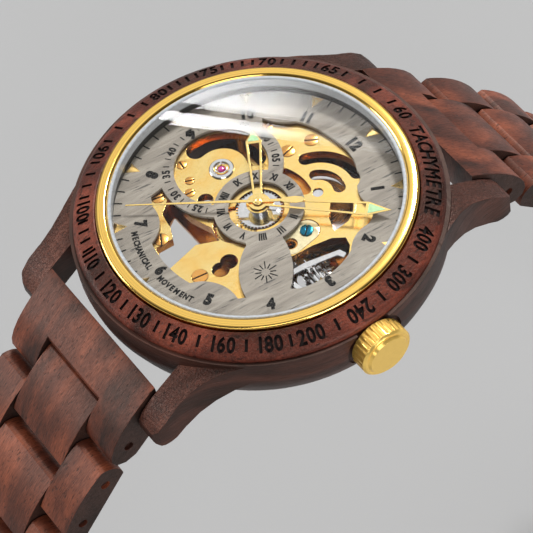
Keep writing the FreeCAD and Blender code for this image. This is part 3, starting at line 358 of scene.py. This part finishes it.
def refined(node, width, materials, choose=None, segments=2, angle=32.0):
    """The CAD node's shape with its edges rounded; choose(centre, normal) in mm picks a face's material."""
    mesh = NODES[node].data.copy()
    work = bmesh.new()
    work.from_mesh(mesh)
    bmesh.ops.remove_doubles(work, verts=work.verts, dist=1e-6)
    bmesh.ops.dissolve_limit(work, angle_limit=math.radians(0.6), verts=work.verts, edges=work.edges)
    work.to_mesh(mesh)
    work.free()
    mesh.materials.clear()
    mesh.shade_smooth()
    mesh.set_sharp_from_angle(angle=math.radians(angle))
    temporary = bpy.data.objects.new("temporary", mesh)
    bpy.context.collection.objects.link(temporary)
    if width:
        bevel = temporary.modifiers.new("round", "BEVEL")
        bevel.width = width * MM
        bevel.segments = segments
        bevel.limit_method = "ANGLE"
        bevel.angle_limit = math.radians(angle)
    weighted = temporary.modifiers.new("flat_faces", "WEIGHTED_NORMAL")
    weighted.weight = 100
    weighted.keep_sharp = width == 0
    mesh = evaluated(temporary)
    bpy.data.objects.remove(temporary)
    for material in materials:
        mesh.materials.append(material)
    if choose:
        for face in mesh.polygons:
            face.material_index = choose(face.center / MM, face.normal)
    return finish_piece(mesh, node + "_finished", BODY_OF[node], materials, None, (node,))


def lathe(name, profile, body, materials, steps=288, replaces=(), angle=30.0):
    """A ring turned about Z from a closed (r, z) outline in millimetres."""
    work = bmesh.new()
    rows = []
    for i in range(steps):
        turn = 2 * math.pi * i / steps
        across, along = MM * math.cos(turn), MM * math.sin(turn)
        rows.append([work.verts.new((r * across, r * along, z * MM)) for r, z in profile])
    count = len(profile)
    for i in range(steps):
        for k in range(count):
            work.faces.new((rows[i][k], rows[i][(k + 1) % count], rows[(i + 1) % steps][(k + 1) % count],
                            rows[(i + 1) % steps][k]))
    bmesh.ops.recalc_face_normals(work, faces=work.faces)
    mesh = bpy.data.meshes.new(name)
    work.to_mesh(mesh)
    work.free()
    if body is None:
        return mesh
    return finish_piece(mesh, name, body, materials, angle, replaces)


GLYPHS = {}


def glyph(character, bold):
    """Flat outline mesh of one character of cap height 1, centred on the origin, 1 thick."""
    key = (character, bold)
    if key not in GLYPHS:
        curve = bpy.data.curves.new("glyph", "FONT")
        curve.body = character
        curve.size = 1.0
        curve.offset = bold
        curve.resolution_u = 4
        curve.extrude = 0.5
        letter = bpy.data.objects.new("glyph", curve)
        bpy.context.collection.objects.link(letter)
        mesh = evaluated(letter)
        bpy.data.objects.remove(letter)
        xs = [v.co.x for v in mesh.vertices]
        ys = [v.co.y for v in mesh.vertices]
        tall = max(ys) - min(ys)
        shift = Vector(((max(xs) + min(xs)) / 2, (max(ys) + min(ys)) / 2, 0))
        for v in mesh.vertices:
            v.co = (v.co - shift) / tall
            v.co.z = 0.5 if v.co.z > 0 else -0.5
        GLYPHS[key] = mesh
    return GLYPHS[key]


def letter_width(character):
    if character in "1I":
        return 0.72
    return 1.3 if character in "MW" else 1.0


def clock(radius, degrees, centre=(0.0, 0.0)):
    turn = math.radians(degrees)
    return Vector((centre[0] + radius * math.sin(turn), centre[1] + radius * math.cos(turn), 0))


def ring_frame(radius, degrees, z, slope=0.0, centre=(0.0, 0.0), inward=False):
    """Axes on a ring: x clockwise, y outwards down the slope, z off the surface. inward flips x and y."""
    turn = math.radians(degrees)
    radial = Vector((math.sin(turn), math.cos(turn), 0))
    along = Vector((math.cos(turn), -math.sin(turn), 0))
    up = radial * math.cos(slope) - Vector((0, 0, math.sin(slope)))
    normal = radial * math.sin(slope) + Vector((0, 0, math.cos(slope)))
    if inward:
        along, up = -along, -up
    place = clock(radius, degrees, centre)
    place.z = z
    matrix = Matrix((along, up, normal)).transposed().to_4x4()
    return Matrix.Translation(place * MM) @ matrix


def add_text(work, text, degrees, radius, z, height, pitch, thick, slope=0.0, centre=(0.0, 0.0), inward=False,
             narrow=0.8, bold=0.0, rise=0.0):
    """Letters of one word set round a ring, added to a bmesh."""
    widths = [letter_width(c) for c in text]
    total = sum(widths)
    used = 0.0
    for character, width in zip(text, widths):
        offset = (used + width / 2 - total / 2) * pitch
        used += width
        if character == " ":
            continue
        turn = math.degrees(offset / radius) * (-1 if inward else 1)
        matrix = ring_frame(radius, degrees + turn, z, slope, centre, inward)
        matrix = matrix @ Matrix.Translation((0, 0, rise * MM))
        size = Matrix.Diagonal((height * narrow * MM, height * MM, thick * MM, 1))
        mesh = glyph(character, bold).copy()
        mesh.transform(matrix @ size)
        work.from_mesh(mesh)
        bpy.data.meshes.remove(mesh)


def add_bar(work, matrix, wide, tall, thick):
    """A thin bar, for ticks."""
    size = Matrix.Diagonal((wide * MM, tall * MM, thick * MM, 1))
    bmesh.ops.create_cube(work, size=1.0, matrix=matrix @ size)


def bmesh_piece(work, name, body, materials, angle=38.0, replaces=()):
    mesh = bpy.data.meshes.new(name)
    work.to_mesh(mesh)
    work.free()
    return finish_piece(mesh, name, body, materials, angle, replaces)


# ---- bezel with its engraving ----------------------------------------------------
SPEEDS = [("60", 3.0), ("400", 57.0), ("300", 74.0), ("240", 91.0), ("200", 108.5), ("180", 121.5),
          ("160", 136.5), ("140", 152.5), ("130", 166.5), ("120", 180.5), ("110", 195.5), ("100", 215.5),
          ("90", 240.0), ("80", 270.0), ("75", 289.0), ("70", 309.0), ("65", 331.0)]
SINGLE_TICKS = (65.8, 82.5, 99.6, 115.0, 129.0, 144.5, 159.5, 173.5, 188.0)
TICK_RUNS = ((199.5, 211.0, 4), (221.0, 235.5, 4), (245.0, 264.0, 4), (274.5, 284.5, 4), (293.5, 304.0, 4),
             (314.0, 326.0, 4), (336.5, 357.0, 4))
ENGRAVING_R, ENGRAVING_DEPTH, ENGRAVING_CUT = 20.62, 0.26, 0.85
ENGRAVING_HEIGHT, ENGRAVING_BOLD, ENGRAVING_NARROW = 1.92, 0.038, 0.80
FIGURE_PITCH, TITLE_PITCH, TITLE_AT = 1.10, 1.33, 29.0
TICK_WIDE, TICK_TALL = 0.36, 1.45


def engraved_bezel():
    """The wooden ring with its figures and ticks cut into the cone; the cut faces are burnt dark."""
    profile = [(19.12, 10.05), (19.12, 11.86), (19.17, 11.96), (19.3, 12.0), (20.0, 11.69), (20.7, 11.38),
               (21.3, 11.115), (21.55, 10.98), (21.78, 10.79), (21.94, 10.55), (22.0, 10.3), (22.0, 10.05)]
    ring = bpy.data.objects.new("ring", lathe("ring", profile, None, ()))
    bpy.context.collection.objects.link(ring)
    work = bmesh.new()
    level = BEZEL_INNER[1] - (ENGRAVING_R - BEZEL_INNER[0]) * math.tan(BEZEL_SLOPE)
    rise = ENGRAVING_CUT / 2 - ENGRAVING_DEPTH
    words = [(text, degrees, FIGURE_PITCH) for text, degrees in SPEEDS]
    words.append(("TACHYMETRE", TITLE_AT, TITLE_PITCH))
    for text, degrees, pitch in words:
        add_text(work, text, degrees, ENGRAVING_R, level, ENGRAVING_HEIGHT, pitch, ENGRAVING_CUT, BEZEL_SLOPE,
                 inward=100 < degrees < 260, narrow=ENGRAVING_NARROW, bold=ENGRAVING_BOLD, rise=rise)
    ticks = list(SINGLE_TICKS)
    for start, end, count in TICK_RUNS:
        ticks += [start + (end - start) * i / (count - 1) for i in range(count)]
    for degrees in ticks:
        matrix = ring_frame(ENGRAVING_R, degrees, level, BEZEL_SLOPE) @ Matrix.Translation((0, 0, rise * MM))
        add_bar(work, matrix, TICK_WIDE, TICK_TALL, ENGRAVING_CUT)
    cutter_mesh = bpy.data.meshes.new("cutter")
    bmesh.ops.remove_doubles(work, verts=work.verts, dist=1e-7)
    bmesh.ops.recalc_face_normals(work, faces=work.faces)
    work.to_mesh(cutter_mesh)
    work.free()
    for material in (WOOD_BEZEL, BURNT_AND_SLOT_SHADE):
        ring.data.materials.append(material)
        cutter_mesh.materials.append(material)
    for face in cutter_mesh.polygons:
        face.material_index = 1
    cutter = bpy.data.objects.new("cutter", cutter_mesh)
    bpy.context.collection.objects.link(cutter)
    cut = ring.modifiers.new("engrave", "BOOLEAN")
    cut.operation = "DIFFERENCE"
    cut.object = cutter
    cut.solver = "EXACT"
    cut.use_self = True
    mesh = evaluated(ring)
    bpy.data.objects.remove(ring)
    bpy.data.objects.remove(cutter)
    finish_piece(mesh, "bezel_engraved", "case", (), 30.0, ("bezel",))


engraved_bezel()


# ---- rings, case and glass ---------------------------------------------------------
lathe("crystal_ring_finished", [(17.6, 11.0), (17.6, 12.28), (17.66, 12.36), (17.86, 12.54), (17.96, 12.565),
      (18.7, 12.5), (18.86, 12.44), (18.98, 12.3), (19.0, 12.2), (19.0, 10.05), (18.0, 10.05), (18.0, 11.0)],
      "case", (GOLD_RING,), replaces=("crystal_ring",))
lathe("crystal_gasket_finished", [(17.15, 11.0), (17.15, 12.28), (17.2, 12.36), (17.3, 12.42), (17.48, 12.42),
      (17.56, 12.36), (17.6, 12.28), (17.6, 11.0)], "case", (GASKET,), replaces=("crystal_gasket",))
FLANGE_OUTLINE = [(17.3, 9.8), (17.4, 11.0), (17.98, 11.0), (17.98, 9.3), (17.5, 9.3), (17.5, 9.8)]
lathe("inner_flange_finished", FLANGE_OUTLINE, "case", (FLANGE,), replaces=("inner_flange",))


# Lug tops take the lighter wood with its real pebbled finish; every other face takes the darker case wood,
# whose darkness is painted shade.
def case_finish(centre, normal):
    outside = abs(centre.y) > 15.0 and abs(centre.x) > 10.0
    return 1 if outside and normal.z > 0.45 else 0


refined("case_middle", 0.28, (WOOD_CASE_SHADED, WOOD_LUG), case_finish, 3)


def paint(node, *materials):
    """Gives a carried-over CAD node its finish."""
    mesh = NODES[node].data
    mesh.materials.clear()
    for material in materials:
        mesh.materials.append(material)


paint("crystal", CRYSTAL)
paint("case_back_glass", BACK_GLASS)

# ---- bracelet --------------------------------------------------------------------------
# Faces pointing along X, the link sides, take the near-black wood as painted shade.
def link_finish(centre, normal):
    return 1 if abs(normal.x) > 0.8 else 0


for side in ("12h", "6h"):
    refined("end_link_" + side, 0.5, (WOOD_LINKS[0 if side == "12h" else 2], WOOD_LINK_SIDE_SHADE), link_finish, 3)
    for i in range(10):
        name = "%s_link_%s_%d" % ("centre" if i % 2 == 0 else "outer", side, i // 2 + 1)
        refined(name, 0.5, (WOOD_LINKS[(i * 3 + (1 if side == "6h" else 0)) % 4], WOOD_LINK_SIDE_SHADE), link_finish, 3)
for name in ("clasp_cover", "clasp_middle_leaf", "clasp_bottom_leaf"):
    refined(name, 0.14, (STEEL,))
refined("case_back_ring", 0.08, (STEEL,))
refined("crown", 0.07, (GOLD_CROWN,), angle=25.0)
refined("spring_bars", 0.05, (STEEL,))

# ---- dial and its print ------------------------------------------------------------------
refined("dial_plate", 0.05, (DIAL,), angle=50.0)
refined("hour_markers", 0.02, (GOLD_MARKER,))


HOUR_TEXT_R, MINUTE_TICK_R = 14.05, 16.85
ROMANS = ("XII", "I", "II", "III", "IIII", "V", "VI", "VII", "VIII", "IX", "X", "XI")
WORDS = [("MECHANICAL", 195.0, 14.9, 0.60), ("MOVEMENT", 167.2, 14.8, 0.64)]     # word, angle, radius, pitch


def dial_print():
    """Hours, minute ticks, small seconds, Roman ring and plain words, as thin raised print."""
    work = bmesh.new()
    thick = 0.03
    z = DIAL_TOP + thick / 2
    for hour in range(1, 13):
        inward = 3.5 < hour < 8.5
        add_text(work, str(hour), hour * 30, HOUR_TEXT_R, z, 1.62, 1.12, thick, inward=inward, narrow=0.88,
                 bold=0.075)
    for minute in range(60):
        if minute % 5:
            add_bar(work, ring_frame(MINUTE_TICK_R, minute * 6, z), 0.17, 0.95, thick)
    for second in range(0, 60, 5):
        degrees = second * 6
        if clock(SUB_TEXT_R, degrees, BALANCE).length > ROMAN_CLEAR_R:
            add_text(work, "%02d" % (second or 60), degrees, SUB_TEXT_R, z, 1.0, 0.66, thick, centre=BALANCE,
                     narrow=0.85, bold=0.045)
    for five in range(12):
        for third in (1, 2):
            degrees = five * 30 + third * 10
            if clock(SUB_TEXT_R, degrees, BALANCE).length > ROMAN_CLEAR_R:
                add_bar(work, ring_frame(SUB_TEXT_R, degrees, z, centre=BALANCE), 0.12, 0.75, thick)
    for i, text in enumerate(ROMANS):
        pitch = 0.42 if len(text) < 4 else 0.34
        add_text(work, text, i * 30, ROMAN_TEXT_R, z, 1.0, pitch, thick, narrow=0.62, bold=0.065)
    for text, degrees, radius, pitch in WORDS:
        add_text(work, text, degrees, radius, z, 0.80, pitch, thick, inward=True, narrow=0.8, bold=0.05)
    # plain sunburst emblem on the 4 o'clock petal
    for i in range(12):
        reach = 0.85 if i % 2 else 1.15
        matrix = ring_frame(0.45 + reach / 2, i * 30, z, centre=PETAL_EMBLEM)
        add_bar(work, matrix, 0.13, reach - 0.15, thick)
    bmesh_piece(work, "dial_print", "case", (PRINT,))


dial_print()


# ---- hands ---------------------------------------------------------------------------------
def lume_patch(name, body, degrees, outline, z):
    """Flat pale fill in a hand's tip; the outline is along +Y in millimetres."""
    work = bmesh.new()
    turn = Matrix.Rotation(-math.radians(degrees), 4, "Z")
    low = [work.verts.new(turn @ Vector((x * MM, y * MM, z * MM))) for x, y in outline]
    face = work.faces.new(low)
    made = bmesh.ops.extrude_face_region(work, geom=[face])
    for v in made["geom"]:
        if isinstance(v, bmesh.types.BMVert):
            v.co.z += 0.03 * MM
    bmesh.ops.recalc_face_normals(work, faces=work.faces)
    bmesh.ops.bevel(work, geom=work.edges[:], offset=0.008 * MM, segments=1, affect="EDGES")
    bmesh_piece(work, name, body, (LUME,))


for name in ("hour_hand", "minute_hand", "seconds_hand"):
    refined(name, 0.035, (GOLD,))
HOUR_AT, HOUR_LUME_Z = 302.0, 10.45
MINUTE_AT, MINUTE_LUME_Z = 45.0, 10.72
lume_patch("hour_lume", BODY_OF["hour_hand"], HOUR_AT,
           [(-0.68, 9.3), (0.68, 9.3), (0.6, 9.65), (0, 10.6), (-0.6, 9.65)], HOUR_LUME_Z)
lume_patch("minute_lume", BODY_OF["minute_hand"], MINUTE_AT,
           [(-0.66, 13.05), (0.66, 13.05), (0.6, 13.4), (0, 15.1), (-0.6, 13.4)], MINUTE_LUME_Z)


# ---- movement --------------------------------------------------------------------------------
def screw_finish(centre, normal):
    """Gold, blued or steel by place, with painted shade on the floor of each slot of the dial side."""
    blued = (centre.x - BLUED_SCREW[0]) ** 2 + (centre.y - BLUED_SCREW[1]) ** 2 < 1.5
    if normal.z > 0.9 and abs(centre.z - (BLUED_SLOT_Z if blued else PLATE_SLOT_Z)) < 0.04:
        return 3
    if blued:
        return 1
    return 0 if centre.z > 8.0 else 2


def plate_finish(centre, normal):
    """Bright gold on the top face; deep gold in the recesses and on the walls as painted shade."""
    return 0 if centre.z > 9.0 and normal.z > 0.4 else 1


def barrel_finish(centre, normal):
    away = math.hypot(centre.x - BARREL[0], centre.y - BARREL[1])
    return 1 if away < BARREL_DRUM_LIMIT else 0


refined("screws", 0.015, (GOLD_SCREW, BLUED, STEEL_BRIGHT, BURNT_AND_SLOT_SHADE), screw_finish)
refined("main_plate", 0.07, (GOLD_PLATE, GOLD_DEEP_AND_RECESS_SHADE), plate_finish, angle=50.0)
refined("barrel", 0.0, (GOLD_GEAR, STEEL_BARREL), barrel_finish)
refined("setting_plate", 0.05, (SETTING,), angle=50.0)
for name in ("centre_wheel", "third_wheel", "minute_wheel", "fourth_wheel"):
    refined(name, 0.0, (GOLD_GEAR,))
for name in ("hour_wheel", "escape_wheel", "pallet_fork", "winding_pinion", "crown_wheel", "ratchet_wheel"):
    refined(name, 0.0, (STEEL_BRIGHT,))
refined("train_bridge", 0.06, (GOLD_DEEP_AND_RECESS_SHADE,), angle=50.0)
refined("balance_cock", 0.06, (GOLD_PLATE,), angle=50.0)
refined("balance_wheel", 0.03, (GOLD,))
refined("rotor", 0.08, (GOLD_DEEP_AND_RECESS_SHADE,), angle=50.0)
paint("jewels", RUBY)
paint("hairspring", BLUED)


def tube_ring(name, body, centre, radius, wire, z, material, flat=1.0, start=0.0, end=360.0, steps=64):
    """A wire ring or arc lying flat."""
    work = bmesh.new()
    closed = end - start >= 360.0
    rows = []
    count = steps if closed else steps + 1
    for i in range(count):
        turn = math.radians(start + (end - start) * i / steps)
        row = []
        for k in range(10):
            around = 2 * math.pi * k / 10
            r = radius + wire * math.cos(around)
            place = clock(r, math.degrees(turn), centre)
            place.z = z + wire * flat * math.sin(around)
            row.append(work.verts.new(place * MM))
        rows.append(row)
    for i in range(count if closed else count - 1):
        a, b = rows[i], rows[(i + 1) % count]
        for k in range(10):
            work.faces.new((a[k], a[(k + 1) % 10], b[(k + 1) % 10], b[k]))
    if not closed:
        work.faces.new(rows[0])
        work.faces.new(rows[-1])
    bmesh.ops.recalc_face_normals(work, faces=work.faces)
    return bmesh_piece(work, name, body, (material,), 60.0)


def shock_setting():
    """Round spring setting with a ruby cap over the balance staff."""
    outline = [(0.95, 9.2), (0.95, 9.34), (1.05, 9.4), (1.4, 9.4), (1.5, 9.32), (1.5, 9.2)]
    piece = lathe("shock_ring", outline, None, ())
    piece.transform(Matrix.Translation((BALANCE[0] * MM, BALANCE[1] * MM, 0)))
    finish_piece(piece, "shock_ring", "case", (STEEL_BRIGHT,), 30.0)
    work = bmesh.new()
    ruby_top = 9.44
    rows = []
    for r, z in ((0.22, 9.42), (0.36, 9.36), (0.42, 9.26), (0.42, 9.1)):
        turns = [i * math.pi / 16 for i in range(32)]
        rows.append([work.verts.new(((BALANCE[0] + r * math.cos(turn)) * MM,
                                     (BALANCE[1] + r * math.sin(turn)) * MM, z * MM)) for turn in turns])
    top = work.verts.new((BALANCE[0] * MM, BALANCE[1] * MM, ruby_top * MM))
    for i in range(32):
        work.faces.new((top, rows[0][i], rows[0][(i + 1) % 32]))
        for a, b in zip(rows, rows[1:]):
            work.faces.new((a[i], b[i], b[(i + 1) % 32], a[(i + 1) % 32]))
    bmesh.ops.recalc_face_normals(work, faces=work.faces)
    bmesh_piece(work, "shock_ruby", "case", (RUBY,), 60.0)
    tube_ring("shock_spring", "case", BALANCE, 0.68, 0.07, 9.42, STEEL_BRIGHT, 0.6, 20, 340)
    for i, degrees in enumerate((60, 180, 300)):
        work = bmesh.new()
        add_bar(work, ring_frame(0.85, degrees, 9.4, centre=BALANCE), 0.16, 0.5, 0.08)
        bmesh.ops.bevel(work, geom=work.edges[:], offset=0.02 * MM, segments=2, affect="EDGES")
        bmesh_piece(work, "shock_spring_arm_%d" % i, "case", (STEEL_BRIGHT,))


shock_setting()


def plate_piece(name, body, outline, z0, z1, material, bevel=0.04):
    """A flat part cut from sheet, from an outline in millimetres."""
    work = bmesh.new()
    face = work.faces.new([work.verts.new((x * MM, y * MM, z0 * MM)) for x, y in outline])
    made = bmesh.ops.extrude_face_region(work, geom=[face])
    for v in made["geom"]:
        if isinstance(v, bmesh.types.BMVert):
            v.co.z = z1 * MM
    bmesh.ops.recalc_face_normals(work, faces=work.faces)
    bmesh.ops.bevel(work, geom=work.edges[:], offset=bevel * MM, segments=2, affect="EDGES")
    return bmesh_piece(work, name, body, (material,))


LEVER_OUTLINE = [(9.4, -2.6), (10.1, -2.7), (10.25, -1.2), (10.7, 1.1), (11.2, 3.1), (11.9, 3.5), (11.6, 4.1),
                 (10.7, 3.8), (10.1, 1.6), (9.55, -0.4)]
SPRING_OUTLINE = [(8.4, -3.9), (12.4, -3.2), (13.2, -2.2), (12.2, -2.6), (8.5, -3.4)]
plate_piece("setting_lever", "case", LEVER_OUTLINE, 8.85, 9.05, STEEL_BRIGHT)
plate_piece("yoke_spring", "case", SPRING_OUTLINE, 8.75, 8.95, STEEL_BRIGHT, 0.03)

# ---- floor and light ------------------------------------------------------------------------------
FLOOR_GAP, FLOOR_HALF = 0.0002, 3.0
floor_level = CAD_BOX[0][2] - FLOOR_GAP
floor_mesh = bpy.data.meshes.new("floor")
corners = [(x * FLOOR_HALF, y * FLOOR_HALF, floor_level) for x, y in ((-1, -1), (1, -1), (1, 1), (-1, 1))]
floor_mesh.from_pydata(corners, [], [(0, 1, 2, 3)])
floor = bpy.data.objects.new("floor", floor_mesh)
bpy.context.collection.objects.link(floor)
floor_mesh.materials.append(soft_colour("floor_pale", (0.38, 0.38, 0.38), 0.9, 30.0, 0.995))

GLASS_MIRROR = Vector((-0.527, 0.26, 0.809))       # the way flat metal and the glass look from the front


def studio_world():
    """Dark room with a broad soft glow round GLASS_MIRROR."""
    world = bpy.data.worlds.new("studio")
    bpy.context.scene.world = world
    world.use_nodes = True
    tree = world.node_tree
    coords = tree.nodes.new("ShaderNodeTexCoord")
    toward = tree.nodes.new("ShaderNodeVectorMath")
    toward.operation = "DOT_PRODUCT"
    toward.inputs[1].default_value = GLASS_MIRROR
    ramp = tree.nodes.new("ShaderNodeValToRGB")
    stops = [(0.0, 0.04), (0.35, 0.08), (0.72, 0.28), (0.90, 0.98), (0.985, 0.9)]
    while len(ramp.color_ramp.elements) < len(stops):
        ramp.color_ramp.elements.new(0.5)
    for element, (place, value) in zip(ramp.color_ramp.elements, stops):
        element.position = place
        element.color = (value, value, value, 1)
    tree.links.new(coords.outputs["Generated"], toward.inputs[0])
    tree.links.new(toward.outputs["Value"], ramp.inputs["Fac"])
    tree.links.new(ramp.outputs["Color"], tree.nodes["Background"].inputs["Color"])
    tree.nodes["Background"].inputs["Strength"].default_value = 1.0


studio_world()


all_but_crystal = bpy.data.collections.new("all_but_crystal")
all_but_crystal.objects.link(NODES["crystal"])
all_but_crystal.collection_objects[0].light_linking.link_state = "EXCLUDE"

SOFTBOX_AIM_Z = 0.012          # height of the point that the softboxes face, in metres


def area_light(name, direction, distance, width, height, power, roll=0.0):
    """A softbox facing the watch, kept off the glass; direction is from the watch to the light."""
    data = bpy.data.lights.new(name, "AREA")
    data.shape = "RECTANGLE"
    data.size = width
    data.size_y = height
    data.energy = power
    light = bpy.data.objects.new(name, data)
    bpy.context.collection.objects.link(light)
    aim = Vector(direction).normalized()
    turn = aim.to_track_quat("Z", "Y").to_matrix().to_4x4() @ Matrix.Rotation(math.radians(roll), 4, "Z")
    light.matrix_world = Matrix.Translation(aim * distance + Vector((0, 0, SOFTBOX_AIM_Z))) @ turn
    light.light_linking.receiver_collection = all_but_crystal


area_light("key_softbox", (-0.35, 0.55, 0.80), 2.4, 0.42, 0.36, 46.0, 20)
area_light("fill_softbox", (0.75, -0.35, 0.75), 2.2, 1.2, 0.8, 9.0)
area_light("left_softbox", (-0.66, -0.66, 0.30), 1.9, 0.8, 0.6, 17.0)
area_light("side_strip", (0.55, -0.95, 0.30), 1.8, 1.2, 0.3, 3.0)
area_light("crown_fill", (1.0, 0.05, 0.15), 1.6, 0.8, 0.5, 14.0)

# window reflections in the crystal: strips over the watch, placed by mirroring the camera in the glass
STRIP_Z = 500.0
REFLECTION_TURN = 39.5
REFLECTION_LINE = (-7.54, 8.9)          # a point on the band line
REFLECTION_LENGTH = 46.0


def crystal_strip(name, near, far, radiance, receivers):
    """A bright band in the crystal, from near to far mm off the band line, seen in the crystal only."""
    eye = bpy.context.scene.camera.matrix_world.translation / MM
    eye.z = 2 * GLASS_TOP_Z - eye.z
    along = Vector((math.cos(math.radians(REFLECTION_TURN)), math.sin(math.radians(REFLECTION_TURN)), 0))
    across = Vector((-along.y, along.x, 0))
    middle = Vector((*REFLECTION_LINE, GLASS_TOP_Z)) + across * (near + far) / 2
    grow = (STRIP_Z - eye.z) / (GLASS_TOP_Z - eye.z)
    data = bpy.data.lights.new(name, "AREA")
    data.shape = "RECTANGLE"
    data.size = REFLECTION_LENGTH * grow * MM
    data.size_y = (far - near) * grow * MM
    data.energy = radiance * math.pi * data.size * data.size_y
    data.use_nodes = True
    tree = data.node_tree
    place = tree.nodes.new("ShaderNodeNewGeometry")
    split = tree.nodes.new("ShaderNodeSeparateXYZ")
    ramp = tree.nodes.new("ShaderNodeValToRGB")
    ramp.color_ramp.elements[0].position = 0.22
    ramp.color_ramp.elements[0].color = (1, 1, 1, 1)
    ramp.color_ramp.elements[1].position = 0.60
    ramp.color_ramp.elements[1].color = (0.06, 0.06, 0.06, 1)
    tree.links.new(place.outputs["Parametric"], split.inputs["Vector"])
    tree.links.new(split.outputs["X"], ramp.inputs["Fac"])
    tree.links.new(ramp.outputs["Color"], tree.nodes["Emission"].inputs["Color"])
    light = bpy.data.objects.new(name, data)
    bpy.context.collection.objects.link(light)
    turn = Matrix.Rotation(math.radians(REFLECTION_TURN), 4, "Z")
    light.matrix_world = Matrix.Translation((eye + (middle - eye) * grow) * MM) @ turn
    light.visible_diffuse = False
    light.light_linking.receiver_collection = receivers


only_crystal = bpy.data.collections.new("only_crystal")
only_crystal.objects.link(NODES["crystal"])
crystal_strip("window_reflection", 0.0, 24.0, 58.0, only_crystal)
crystal_strip("window_reflection_strip", -2.9, -1.45, 72.0, only_crystal)

bpy.context.scene.view_settings.view_transform = "Standard"
bpy.context.scene.view_settings.look = "None"
